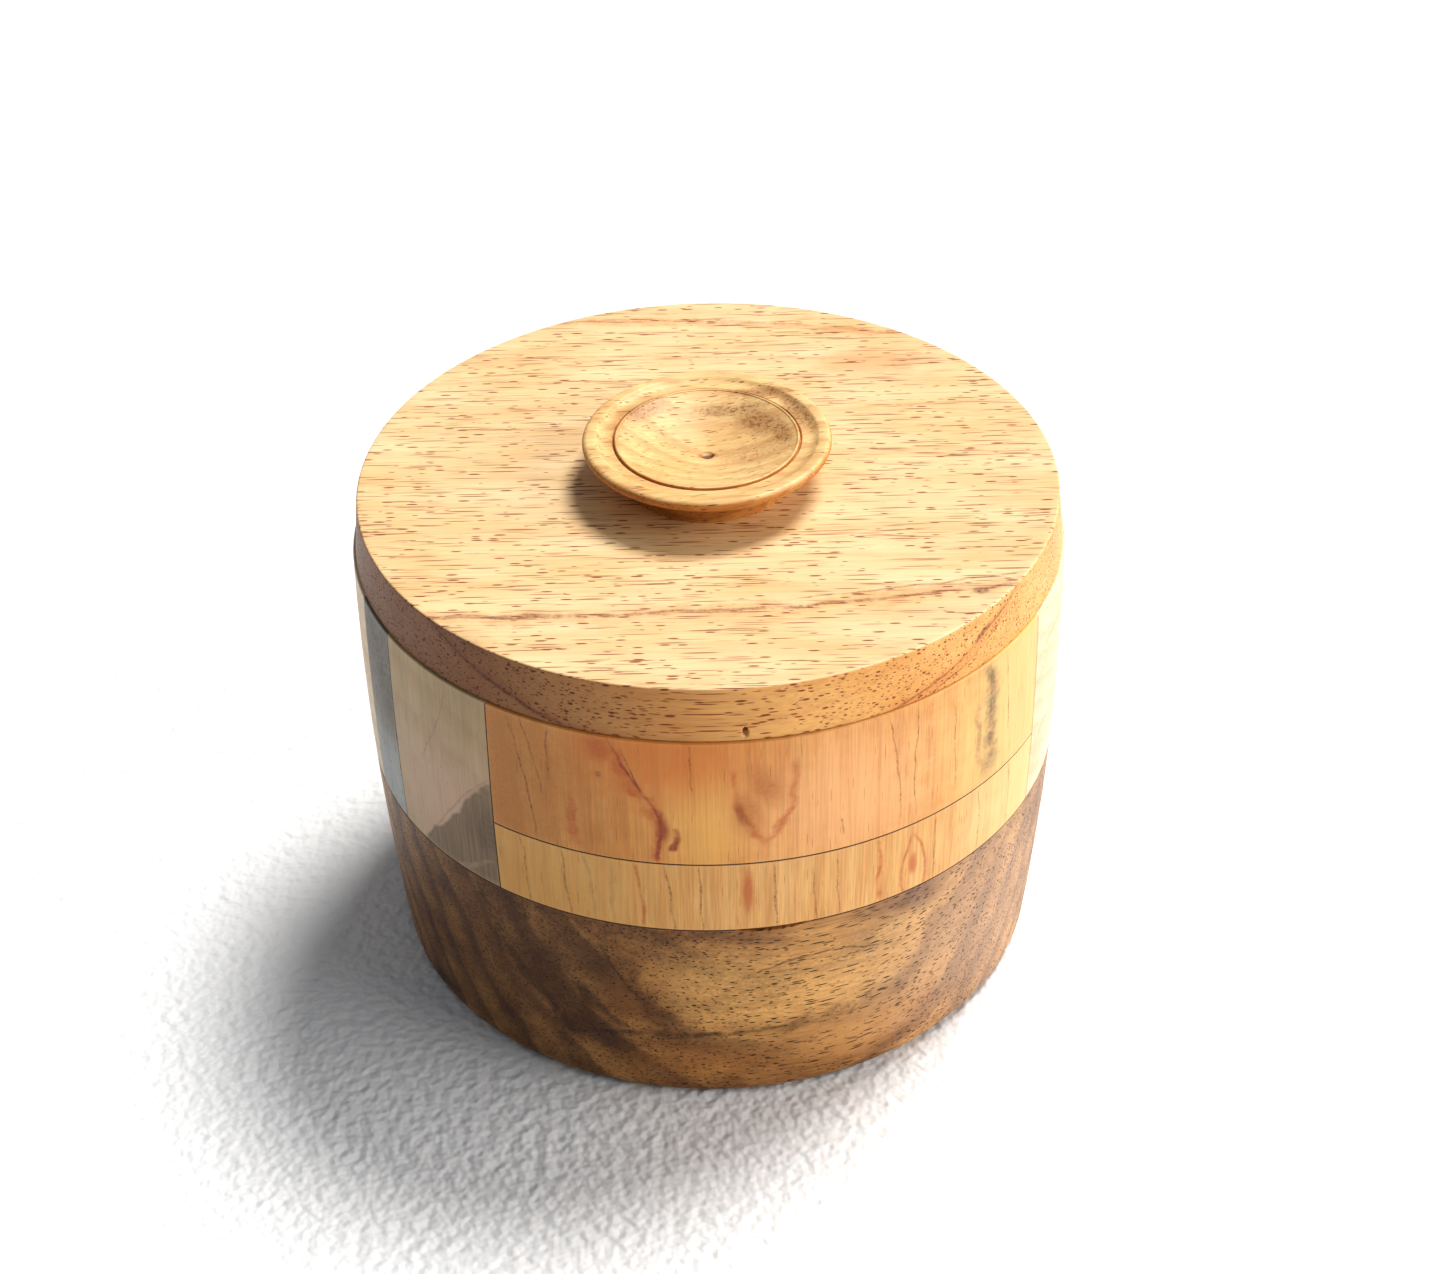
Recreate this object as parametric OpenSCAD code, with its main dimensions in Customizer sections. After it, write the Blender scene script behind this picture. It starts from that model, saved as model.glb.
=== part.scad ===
// Turned wooden spice box: a walnut base bowl, a ring of glued staves, a lift-off lid with a
// turned knob, and inside it seven steel katoris with one spoon lying across them.
// Azimuths are in degrees, seen from above: 0 is the front (-Y) and 90 is the right (+X).
// Heights are measured from the surface that the box stands on.

/* [Box body] */
// Radius of the body at its widest circle
belly_r = 61.75; // [58:0.25:68]
// Height of the body without the lid
body_h = 80.5; // [72:0.5:90]
// Height of the walnut base bowl, up to its glue line with the staves
base_h = 41; // [30:0.5:48]
// Height of the lower staves, which stand on the walnut base bowl
lower_stave_h = 14.6; // [8:0.2:20]
// Radius of the long curve that the side follows from foot to rim
side_curve_r = 570; // [450:10:900]
// Radius of the round edge at the foot
foot_edge_r = 2.5; // [1:0.5:4]
// Thickness of the wall at the body's widest circle
wall_t = 9.25; // [8:0.25:14]
// Width of the flat ring that the box stands on
foot_ring_w = 7.5; // [5:0.5:12]
// Thickness of the floor
floor_t = 10; // [8:0.5:14]
// Radius of the cove between the floor and the inside wall
floor_cove_r = 2.5; // [1:0.5:3]

/* [Staves] */
// Azimuth of the joint between the front staves and the maple block
maple_joint_az = -36; // [-45:1:-30]
// Azimuth of the joint between the maple block and the grey block
grey_joint_az = -60; // [-62:1:-52]
// Azimuth of the joint between the grey block and the rear left block
rear_left_joint_az = -71; // [-80:1:-68]
// Azimuth of the joint between the rear left block and the rear staves
rear_joint_az = -118; // [-130:1:-100]
// Azimuth of the joint between the front staves and the right block
right_joint_az = 62; // [50:1:75]
// Azimuth of the joint between the right block and the rear staves
right_rear_joint_az = 100; // [85:1:120]

/* [Lid] */
// Thickness of the lid disc at its edge
lid_t = 9.6; // [8:0.2:12]
// How far the lid's lower edge stands inside the body's side
lid_inset = 0.45; // [0:0.05:1.5]
// How much smaller the lid's top radius is than its bottom radius
lid_taper = 0.9; // [0.5:0.1:3]
// Radius of the round edge at the top of the lid
lid_edge_r = 0.4; // [0.3:0.1:1.5]
// How far the locating ring reaches into the bore
ring_drop = 5; // [3:0.5:7]
// Radial thickness of the locating ring
ring_t = 8; // [5:0.5:10]

/* [Knob] */
// Radius of the knob at its lip
knob_r = 21.25; // [19.5:0.25:23]
// Height of the knob above the lid
knob_h = 8.5; // [8:0.25:11]
// Thickness of the lip, over the cove that fingers go under
lip_t = 1.9; // [1.6:0.1:2.4]
// Depth of the dish in the knob's top, at its middle
dish_d = 4.6; // [3.2:0.2:5]
// Distance from the lip's edge in to the V groove turned around the dish
groove_inset = 5.3; // [4.6:0.05:7]
// Radius of the tenon that the knob is glued in by
tenon_r = 6; // [4:0.5:8]
// Length of the tenon
tenon_l = 7; // [5:0.5:7]

/* [Katoris and spoon] */
// Thickness of the pressed steel sheet
sheet_t = 0.8; // [0.6:0.1:1.2]
// Radius of the curled rim's bead
curl_r = 0.9; // [0.7:0.1:1.2]
// How much narrower a katori is at its floor than under its rim
katori_taper = 1.2; // [0.5:0.1:2]
// Radius of the round corner at a katori's floor
katori_corner_r = 3; // [2:0.5:4]
// Free height between the katoris and the lid's locating ring
head_room = 19.5; // [15:0.5:20]
// Depth of the spoon's bowl
spoon_bowl_d = 5.5; // [4:0.5:6]
// Width of the spoon's handle
spoon_handle_w = 6; // [4:0.5:8]
// Thickness of the spoon's handle
spoon_handle_t = 1.6; // [1.2:0.1:2]

/* [Fits] */
// Radial clearance between the locating ring and the bore
ring_clearance = 0.35; // [0.3:0.05:0.6]
// Clearance between neighbouring katoris, and between them and the wall
katori_clearance = 0.5; // [0.4:0.1:1]
// Clearance between the spoon's bowl and the mouth of the katori that it dips into
spoon_bowl_clearance = 4.4; // [3:0.1:6]
// Clearance between the end of the spoon's handle and the wall
spoon_end_clearance = 4.5; // [3:0.5:10]
// Height left between things that rest on one another
rest_gap = 0.3; // [0.3:0.05:0.5]
// Thickness of the glue film around the tenon and the locating ring
glue_film = 0.05; // [0.03:0.01:0.1]

/* [Hidden] */
$fn = 128;

// Body
belly_z = 0.8 * body_h;
bore_r = belly_r - wall_t;
stave_seam_z = base_h + lower_stave_h;
relief_d = 1.5;
chuck_r = 27.5;
chuck_d = 3.5;
rim_chamfer = 0.6;
foot_step = 0.5;
side_steps = 12;
arc_steps = 8;

// Lid and knob
seat_gap = 0.03;
lid_bottom_z = body_h + seat_gap;
lid_top_z = body_h + lid_t;
ring_seat_d = 1.5;
ring_r = bore_r - ring_clearance;
ring_lead = 0.8;
knob_top_z = lid_top_z + knob_h;
knob_cove_r = knob_h - lip_t;
lip_round_r = lip_t / 2;
knob_foot_r = knob_r - knob_cove_r - lip_round_r / 2;
lip_flat_r = knob_r - 2.1;
dish_groove_r = knob_r - groove_inset;
tenon_chamfer = 0.6;
bore_extra = 0.4;

// Katoris and spoon
katori_rim_r = (bore_r - 2 * katori_clearance) / 3;
katori_pitch = 2 * katori_rim_r + katori_clearance;
katori_top_z = body_h - ring_drop - head_room;
katori_floor_z = floor_t + rest_gap;
katori_h = katori_top_z - katori_floor_z;
katori_wall_r = katori_rim_r - curl_r;
katori_base_r = katori_wall_r - katori_taper;
first_katori_az = 30;
spoon_az = first_katori_az;
spoon_rest_z = katori_top_z + rest_gap;
spoon_rim_z = spoon_rest_z + spoon_handle_t;
spoon_handle_end = bore_r - spoon_end_clearance;
spoon_bowl_r = katori_wall_r - curl_r - spoon_bowl_clearance;

// Radius of the body's side at height z.
function side_r(z) = belly_r - side_curve_r + sqrt(pow(side_curve_r, 2) - pow(z - belly_z, 2));

// Points up the side from height z0 to height z1.
function side_points(z0, z1) = [
    for (i = [0 : side_steps]) let (z = z0 + (z1 - z0) * i / side_steps) [side_r(z), z]
];

// Points along an arc about [x, z], from angle a0 to angle a1.
function arc_points(x, z, r, a0, a1) = [
    for (i = [0 : arc_steps]) let (a = a0 + (a1 - a0) * i / arc_steps) [x + r * cos(a), z + r * sin(a)]
];

// Turns its children from the right-hand side to an azimuth.
module at_azimuth(az) {
    rotate([0, 0, az - 90]) children();
}

// One block of the ring wall, between two azimuths and two heights.
module ring_block(az_from, az_to, z_from, z_to, chamfer = 0) {
    at_azimuth(az_from)
        rotate_extrude(angle = az_to - az_from)
            polygon(concat(
                [[bore_r, z_from]],
                side_points(z_from, z_to),
                chamfer > 0 ? [[bore_r + chamfer, z_to], [bore_r, z_to - chamfer]] : [[bore_r, z_to]]
            ));
}

module base_bowl() {
    foot_side_r = side_r(foot_edge_r);
    relief_r = foot_side_r - foot_edge_r - foot_ring_w;
    color("#5b3d22")
        rotate_extrude()
            polygon(concat(
                [[0, chuck_d], [chuck_r, chuck_d], [chuck_r, relief_d], [relief_r, relief_d], [relief_r, 0]],
                arc_points(foot_side_r - foot_edge_r, foot_edge_r, foot_edge_r, -90, 0),
                side_points(foot_edge_r + foot_step, base_h),
                [[bore_r, base_h]],
                arc_points(bore_r - floor_cove_r, floor_t + floor_cove_r, floor_cove_r, 0, -90),
                [[0, floor_t]]
            ));
}

module front_upper_stave() {
    color("#b5773f") ring_block(maple_joint_az, right_joint_az, stave_seam_z, body_h, rim_chamfer);
}

module front_lower_stave() {
    color("#ad6c3b") ring_block(maple_joint_az, right_joint_az, base_h, stave_seam_z);
}

module left_maple_block() {
    color("#c9ab8b") ring_block(grey_joint_az, maple_joint_az, base_h, body_h, rim_chamfer);
}

module left_grey_block() {
    color("#7d7a74") ring_block(rear_left_joint_az, grey_joint_az, base_h, body_h, rim_chamfer);
}

module left_rear_block() {
    color("#b9ab8c") ring_block(rear_joint_az, rear_left_joint_az, base_h, body_h, rim_chamfer);
}

module rear_upper_stave() {
    color("#b5773f") ring_block(right_rear_joint_az, rear_joint_az + 360, stave_seam_z, body_h, rim_chamfer);
}

module rear_lower_stave() {
    color("#ad6c3b") ring_block(right_rear_joint_az, rear_joint_az + 360, base_h, stave_seam_z);
}

module right_block() {
    color("#d3b98f") ring_block(right_joint_az, right_rear_joint_az, base_h, body_h, rim_chamfer);
}

module lid_disc() {
    lower_r = side_r(body_h) - lid_inset;
    edge_x = lower_r - lid_taper - lid_edge_r;
    seat_z = body_h + ring_seat_d;
    color("#c08a4e")
        difference() {
            rotate_extrude()
                polygon(concat(
                    [
                        [0, lid_bottom_z],
                        [ring_r - ring_t - glue_film, lid_bottom_z],
                        [ring_r - ring_t - glue_film, seat_z],
                        [ring_r + glue_film, seat_z],
                        [ring_r + glue_film, lid_bottom_z],
                        [lower_r, lid_bottom_z],
                    ],
                    arc_points(edge_x, lid_top_z - lid_edge_r, lid_edge_r, 0, 90),
                    [[0, lid_top_z]]
                ));
            translate([0, 0, lid_top_z - tenon_l - bore_extra])
                cylinder(h = tenon_l + 2 * bore_extra, r = tenon_r + glue_film);
        }
}

module lid_locating_ring() {
    bottom_z = body_h - ring_drop;
    top_z = body_h + ring_seat_d;
    color("#bd8850")
        rotate_extrude()
            polygon([
                [ring_r - ring_t, bottom_z],
                [ring_r - ring_lead, bottom_z],
                [ring_r, bottom_z + ring_lead],
                [ring_r, top_z],
                [ring_r - ring_t, top_z],
            ]);
}

module lid_knob() {
    tenon_z = lid_top_z - tenon_l;
    bead_r = dish_groove_r - 0.5;
    dimple_r = 1.2;
    color("#c08a4e")
        rotate_extrude()
            polygon(concat(
                [
                    [0, tenon_z],
                    [tenon_r - tenon_chamfer, tenon_z],
                    [tenon_r, tenon_z + tenon_chamfer],
                    [tenon_r, lid_top_z],
                ],
                arc_points(knob_foot_r + knob_cove_r, lid_top_z, knob_cove_r, 180, 90),
                arc_points(knob_r - lip_round_r, knob_top_z - lip_round_r, lip_round_r, -60, 90),
                [
                    [lip_flat_r, knob_top_z],
                    [lip_flat_r - 0.3, knob_top_z - 0.15],
                    [lip_flat_r - 0.9, knob_top_z - 0.5],
                    [lip_flat_r - 1.7, knob_top_z - 0.7],
                    [dish_groove_r + 0.4, knob_top_z - 0.7],
                    [dish_groove_r, knob_top_z - 1],
                    [dish_groove_r - 0.3, knob_top_z - 0.55],
                    [bead_r, knob_top_z - 0.45],
                    [bead_r - 0.4, knob_top_z - 0.6],
                ],
                [
                    for (i = [0 : arc_steps])
                        let (t = i / arc_steps, x = (bead_r - 0.5) * (1 - t) + dimple_r * t)
                            [x, knob_top_z - 0.75 - (dish_d - 1.15) * (0.5 * t + 0.5 * sin(90 * t))]
                ],
                [[0.4, knob_top_z - dish_d], [0, knob_top_z - dish_d]]
            ));
}

// A pressed steel cup with a curled rim, standing on the floor at its own axis.
module katori() {
    inner_top_r = katori_wall_r - sheet_t;
    inner_corner_r = katori_corner_r - sheet_t;
    color("#b9bcc0")
        translate([0, 0, katori_floor_z])
            rotate_extrude($fn = 96) {
                polygon(concat(
                    [[0, 0]],
                    arc_points(katori_base_r - katori_corner_r, katori_corner_r, katori_corner_r, -90, 0),
                    [[katori_wall_r, katori_h - curl_r], [inner_top_r, katori_h - curl_r]],
                    arc_points(katori_base_r - katori_corner_r, katori_corner_r, inner_corner_r, 0, -90),
                    [[0, sheet_t]]
                ));
                translate([katori_wall_r, katori_h - curl_r]) circle(r = curl_r, $fn = 32);
            }
}

// One of the six katoris that stand around the centre one.
module ring_katori(number) {
    at_azimuth(first_katori_az + 60 * (number - 1)) translate([katori_pitch, 0, 0]) katori();
}

// The spoon lies along a diameter, with its bowl dipping into the first ring katori.
module spice_spoon() {
    ball_r = (pow(spoon_bowl_r, 2) + pow(spoon_bowl_d, 2)) / (2 * spoon_bowl_d);
    handle_round_x = spoon_handle_end - spoon_handle_w / 2;
    color("#c4c6c9")
        at_azimuth(spoon_az)
            difference() {
                union() {
                    translate([katori_pitch, 0, spoon_rim_z])
                        rotate_extrude($fn = 96)
                            intersection() {
                                translate([0, ball_r - spoon_bowl_d]) circle(r = ball_r, $fn = 192);
                                translate([0, -spoon_bowl_d]) square([spoon_bowl_r + 1, spoon_bowl_d]);
                            }
                    translate([0, 0, spoon_rest_z])
                        linear_extrude(spoon_handle_t) {
                            translate([-handle_round_x, -spoon_handle_w / 2])
                                square([handle_round_x + katori_pitch - spoon_bowl_r + 2, spoon_handle_w]);
                            translate([-handle_round_x, 0]) circle(d = spoon_handle_w, $fn = 48);
                        }
                }
                translate([katori_pitch, 0, spoon_rim_z + ball_r - spoon_bowl_d])
                    sphere(r = ball_r - sheet_t, $fn = 192);
            }
}

base_bowl();
front_upper_stave();
front_lower_stave();
left_maple_block();
left_grey_block();
left_rear_block();
rear_upper_stave();
rear_lower_stave();
right_block();
lid_disc();
lid_locating_ring();
lid_knob();
katori();  // katori_centre
ring_katori(1);  // katori_1
ring_katori(2);  // katori_2
ring_katori(3);  // katori_3
ring_katori(4);  // katori_4
ring_katori(5);  // katori_5
ring_katori(6);  // katori_6
spice_spoon();
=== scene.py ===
"""Looks of a turned wooden spice box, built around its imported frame.

The box is a walnut base bowl under a ring of glued cherry, maple and pale blocks, with a lift-off lid
and a dished knob. Seven steel katoris and a spoon lie inside. Lengths are metres; a wood's own sizes
are millimetres, because its shader works in them. Azimuth 0 is the front (-Y) and 90 the right (+X).
"""

import logging
import math
from collections.abc import Callable, Iterable, Sequence
from dataclasses import dataclass, field, replace
from enum import Enum

import bmesh
import bpy
from mathutils import Matrix, Vector, noise


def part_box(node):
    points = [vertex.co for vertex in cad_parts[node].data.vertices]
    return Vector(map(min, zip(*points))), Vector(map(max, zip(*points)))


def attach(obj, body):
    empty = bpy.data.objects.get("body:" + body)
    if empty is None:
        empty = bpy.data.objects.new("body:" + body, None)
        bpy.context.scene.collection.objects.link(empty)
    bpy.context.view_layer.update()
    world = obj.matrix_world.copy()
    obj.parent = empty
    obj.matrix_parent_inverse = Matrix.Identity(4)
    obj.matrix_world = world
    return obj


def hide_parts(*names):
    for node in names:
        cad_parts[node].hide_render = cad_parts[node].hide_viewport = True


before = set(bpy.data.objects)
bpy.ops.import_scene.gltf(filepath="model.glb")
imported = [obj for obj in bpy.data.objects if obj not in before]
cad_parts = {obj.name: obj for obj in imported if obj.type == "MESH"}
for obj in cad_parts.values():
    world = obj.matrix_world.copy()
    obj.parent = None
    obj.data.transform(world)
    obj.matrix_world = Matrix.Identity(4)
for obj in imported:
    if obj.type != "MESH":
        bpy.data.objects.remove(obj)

log = logging.getLogger("spice_box")

MM = 0.001
Point = tuple[float, float]
Outline = list[Point]
Colour = tuple[float, float, float]
Socket = bpy.types.NodeSocket
Sockets = dict[str, Socket]
Node = bpy.types.Node
Tree = bpy.types.NodeTree
Material = bpy.types.Material
Piece = bpy.types.Object
BMesh = bmesh.types.BMesh
Value = float | Sequence[float] | Socket
Shaping = Callable[[float, float, float], Point]


# ---------------------------------------------------------------------------------------------
# Turned meshes


def arc(centre: Point, radius: float, start: float, end: float, steps: int = 8) -> Outline:
    """Points along a round stretch of an outline.

    Args:
        centre: The arc's centre, as (radius from the axis, height).
        radius: The arc's own radius.
        start: Angle of the first point in degrees, counted from outwards towards up.
        end: Angle of the last point in degrees.
        steps: Number of straight steps.

    Returns:
        The points, both ends included.
    """
    angles = [math.radians(start + (end - start) * i / steps) for i in range(steps + 1)]
    return [(centre[0] + radius * math.cos(a), centre[1] + radius * math.sin(a)) for a in angles]


def blend_points(first: Point, last: Point, steps: int) -> Outline:
    """Evenly spaced points from first to last, both included."""
    return [
        (first[0] + (last[0] - first[0]) * i / steps, first[1] + (last[1] - first[1]) * i / steps)
        for i in range(steps + 1)
    ]


def bell(distance: float) -> float:
    """A smooth hump: 1 at distance 0 and 0 from distance 1 on."""
    near = max(0.0, 1.0 - distance * distance)
    return near * near


def signed(azimuth: float) -> float:
    """An azimuth brought between -180 and 180 degrees."""
    return (azimuth + 180.0) % 360.0 - 180.0


@dataclass(frozen=True)
class SideCurve:
    """The long curve that the body's side follows from foot to rim."""

    belly_radius: float
    belly_height: float
    curve_radius: float

    def radius(self, height: float) -> float:
        """Radius of the side at a height."""
        rise = height - self.belly_height
        return self.belly_radius - self.curve_radius + math.sqrt(self.curve_radius**2 - rise**2)

    def points(self, low: float, high: float, steps: int = 14) -> Outline:
        """Points up the side from one height to another."""
        heights = [low + (high - low) * i / steps for i in range(steps + 1)]
        return [(self.radius(z), z) for z in heights]


@dataclass(frozen=True)
class Sweep:
    """The azimuths that a turned piece covers, with closer steps where it has fine detail."""

    start: float = 0.0
    end: float = 360.0
    step: float = 1.0
    fine_from: float = 0.0
    fine_to: float = 0.0
    fine_step: float = 0.15
    joint_margin: float = 0.14

    @property
    def full(self) -> bool:
        """Whether the sweep goes all the way round."""
        return self.end - self.start >= 360.0

    def azimuths(self) -> list[float]:
        """Every azimuth in degrees, in rising order."""
        count = max(4, round((self.end - self.start) / self.step))
        found = {round(self.start + (self.end - self.start) * i / count, 6) for i in range(count + 1)}
        if self.fine_to > self.fine_from:
            fine = round((self.fine_to - self.fine_from) / self.fine_step)
            found |= {round(self.fine_from + self.fine_step * i, 6) for i in range(fine + 1)}
        if self.full:
            found.discard(round(self.end, 6))
        else:
            found |= {self.start + self.joint_margin, self.end - self.joint_margin}
        return sorted(found)


class Lathe:
    """Turns outlines into closed, smooth-shaded solids."""

    def __init__(self, smooth_angle: float = 32.0) -> None:
        """Sets the angle in degrees under which neighbouring faces shade as one."""
        self.smooth_angle = math.radians(smooth_angle)

    def turn(
        self,
        name: str,
        outline: Outline,
        sweep: Sweep = Sweep(),
        shaping: Shaping | None = None,
        centre: Point = (0.0, 0.0),
    ) -> Piece:
        """Makes one turned piece.

        Args:
            name: Name of the new object.
            outline: Points as (radius, height). It starts and ends on the axis, or is a closed loop.
            sweep: The azimuths that the piece covers.
            shaping: Moves a point, given its azimuth, radius and height.
            centre: Where the piece's axis stands, as (x, y).

        Returns:
            The new object, linked to the scene.
        """
        bm = bmesh.new()
        self.add(bm, outline, sweep, shaping, centre)
        return self.finish(name, bm)

    def add(
        self,
        bm: BMesh,
        outline: Outline,
        sweep: Sweep = Sweep(),
        shaping: Shaping | None = None,
        centre: Point = (0.0, 0.0),
    ) -> None:
        """Adds one turned solid to a mesh.

        Args:
            bm: The mesh being written.
            outline: Points as (radius, height). It starts and ends on the axis, or is a closed loop.
            sweep: The azimuths that the solid covers.
            shaping: Moves a point, given its azimuth, radius and height.
            centre: Where the solid's axis stands, as (x, y).
        """
        azimuths = sweep.azimuths()
        on_axis = outline[0][0] < 1e-9
        rows = []
        for radius, height in outline:
            if radius < 1e-9:
                rows.append([bm.verts.new((centre[0], centre[1], height))] * len(azimuths))
                continue
            row = []
            for azimuth in azimuths:
                r, z = shaping(azimuth, radius, height) if shaping else (radius, height)
                a = math.radians(azimuth)
                row.append(bm.verts.new((centre[0] + r * math.sin(a), centre[1] - r * math.cos(a), z)))
            rows.append(row)
        pairs = list(zip(rows, rows[1:] if on_axis else rows[1:] + rows[:1]))
        columns = range(len(azimuths)) if sweep.full else range(len(azimuths) - 1)
        for lower, upper in pairs:
            for i in columns:
                j = (i + 1) % len(azimuths)
                corners = list(dict.fromkeys((lower[i], lower[j], upper[j], upper[i])))
                if len(corners) > 2:
                    bm.faces.new(corners)
        if not sweep.full:
            bm.faces.new([row[0] for row in rows])
            bm.faces.new([row[-1] for row in reversed(rows)])

    def finish(self, name: str, bm: BMesh) -> Piece:
        """Turns a bmesh into a linked object with outward normals and crisp edges."""
        bmesh.ops.remove_doubles(bm, verts=bm.verts, dist=1e-7)
        bmesh.ops.recalc_face_normals(bm, faces=bm.faces)
        mesh = bpy.data.meshes.new(name)
        bm.to_mesh(mesh)
        bm.free()
        mesh.shade_smooth()
        mesh.set_sharp_from_angle(angle=self.smooth_angle)
        piece = bpy.data.objects.new(name, mesh)
        bpy.context.scene.collection.objects.link(piece)
        return piece


def place_piece(
    piece: Piece, material: Material, body: str, nodes: Iterable[str]
) -> None:
    """Dresses a piece, and makes it ride on a body, stand for its CAD nodes and take a material slot.

    Args:
        piece: The finished piece.
        material: The material it wears.
        body: The body it moves with.
        nodes: The CAD nodes it stands for; none for a piece that is only trim.
    """
    piece.data.materials.append(material)
    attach(piece, body)
    for node in nodes:
        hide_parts(node)
    log.info("%s rides on %s", piece.name, body)


# ---------------------------------------------------------------------------------------------
# Shader recipes


def tint(red: int, green: int, blue: int) -> Colour:
    """A linear colour from the 0 to 255 values that a paint chart gives."""
    shares = [c / 255 for c in (red, green, blue)]
    linear = [s / 12.92 if s <= 0.04045 else ((s + 0.055) / 1.055) ** 2.4 for s in shares]
    return (linear[0], linear[1], linear[2])


class Recipe:
    """A node tree being written: most methods add one node and return its output."""

    def __init__(self, tree: Tree) -> None:
        """Starts writing into a tree."""
        self.tree = tree

    def node(self, kind: str, inputs: dict[str | int, Value] | None = None, **settings: object) -> Node:
        """Adds a node.

        Args:
            kind: The node's type name.
            inputs: Values or sockets for its inputs, by name or index.
            **settings: The node's own properties.

        Returns:
            The new node.
        """
        made = self.tree.nodes.new(kind)
        for name, value in settings.items():
            setattr(made, name, value)
        for key, value in (inputs or {}).items():
            self.feed(made.inputs[key], value)
        return made

    def feed(self, socket: Socket, value: Value) -> None:
        """Links a socket into an input, or sets the input's own value."""
        if isinstance(value, bpy.types.NodeSocket):
            self.tree.links.new(value, socket)
        elif isinstance(value, (int, float)):
            socket.default_value = value
        else:
            size = len(socket.default_value)
            socket.default_value = tuple(value) + (1.0,) * (size - len(value))

    def math(self, operation: str, a: Value, b: Value = 0.0, c: Value = 0.0, clamp: bool = False) -> Socket:
        """One scalar sum."""
        made = self.node("ShaderNodeMath", {0: a, 1: b, 2: c}, operation=operation, use_clamp=clamp)
        return made.outputs[0]

    def plus(self, a: Value, b: Value) -> Socket:
        """The sum a + b."""
        return self.math("ADD", a, b)

    def minus(self, a: Value, b: Value) -> Socket:
        """The difference a - b."""
        return self.math("SUBTRACT", a, b)

    def times(self, a: Value, b: Value) -> Socket:
        """The product a * b."""
        return self.math("MULTIPLY", a, b)

    def over(self, a: Value, b: Value) -> Socket:
        """The quotient a / b."""
        return self.math("DIVIDE", a, b)

    def times_plus(self, a: Value, b: Value, c: Value) -> Socket:
        """The sum a * b + c."""
        return self.math("MULTIPLY_ADD", a, b, c)

    def hypotenuse(self, a: Value, b: Value) -> Socket:
        """The length of a flat vector."""
        return self.math("SQRT", self.times_plus(a, a, self.times(b, b)))

    def clamped(self, value: Value) -> Socket:
        """A value held between 0 and 1."""
        return self.math("MULTIPLY", value, 1.0, clamp=True)

    def scaled(self, vector: Value, factors: Value) -> Socket:
        """A vector times a vector, part by part."""
        return self.node("ShaderNodeVectorMath", {0: vector, 1: factors}, operation="MULTIPLY").outputs[0]

    def shifted(self, vector: Value, offset: Value) -> Socket:
        """A vector plus a vector."""
        return self.node("ShaderNodeVectorMath", {0: vector, 1: offset}, operation="ADD").outputs[0]

    def parts(self, vector: Value) -> tuple[Socket, Socket, Socket]:
        """The three parts of a vector."""
        outputs = self.node("ShaderNodeSeparateXYZ", {0: vector}).outputs
        return outputs[0], outputs[1], outputs[2]

    def vector(self, x: Value, y: Value, z: Value) -> Socket:
        """A vector from three values."""
        return self.node("ShaderNodeCombineXYZ", {0: x, 1: y, 2: z}).outputs[0]

    def noise(self, vector: Value, scale: float = 1.0, detail: float = 2.0, roughness: float = 0.5) -> Socket:
        """Smooth solid noise from 0 to 1."""
        inputs = {"Vector": vector, "Scale": scale, "Detail": detail, "Roughness": roughness}
        return self.node("ShaderNodeTexNoise", inputs).outputs[0]

    def soft(self, x: Value, low: Value, high: Value, at_low: Value = 0.0, at_high: Value = 1.0) -> Socket:
        """A smooth step from one level to another, while x goes from low to high."""
        inputs = {0: x, 1: low, 2: high, 3: at_low, 4: at_high}
        return self.node("ShaderNodeMapRange", inputs, interpolation_type="SMOOTHSTEP").outputs[0]

    def blend(self, share: Value, first: Value, second: Value, mode: str = "MIX") -> Socket:
        """Two colours mixed by a share."""
        made = self.node("ShaderNodeMix", data_type="RGBA", blend_type=mode)
        for index, value in ((0, share), (6, first), (7, second)):
            self.feed(made.inputs[index], value)
        return made.outputs[2]

    def ramp(self, share: Value, stops: Sequence[tuple[float, Colour]]) -> Socket:
        """A colour ramp through the given stops."""
        made = self.node("ShaderNodeValToRGB", {0: share})
        elements = made.color_ramp.elements
        while len(elements) < len(stops):
            elements.new(1.0)
        for element, (place, colour) in zip(elements, stops):
            element.position = place
            element.color = (*colour, 1.0)
        return made.outputs[0]

    def surface(
        self,
        colour: Value,
        roughness: Value,
        relief: Value,
        bump: float,
        depth: float,
        more: dict[str, float] | None = None,
    ) -> None:
        """Ends a material with its bumps, its shader and its output.

        Args:
            colour: The base colour.
            roughness: The roughness.
            relief: The height of the bumps, from 0 to 1.
            bump: Strength of the bumps.
            depth: Depth of the bumps in millimetres.
            more: The shader's other inputs.
        """
        normal = self.node("ShaderNodeBump", {"Strength": bump, "Distance": depth * MM, "Height": relief})
        inputs = {"Base Color": colour, "Roughness": roughness, "Normal": normal.outputs[0], **(more or {})}
        shader = self.node("ShaderNodeBsdfPrincipled", inputs)
        self.node("ShaderNodeOutputMaterial", {0: shader.outputs[0]})

    def use(self, group: Tree, **inputs: Value) -> Node:
        """Places a shared group. A keyword's underscores stand for the spaces in its input's name."""
        made = self.node("ShaderNodeGroup", node_tree=group)
        for name, value in inputs.items():
            self.feed(made.inputs[name.replace("_", " ").title()], value)
        return made


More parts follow.
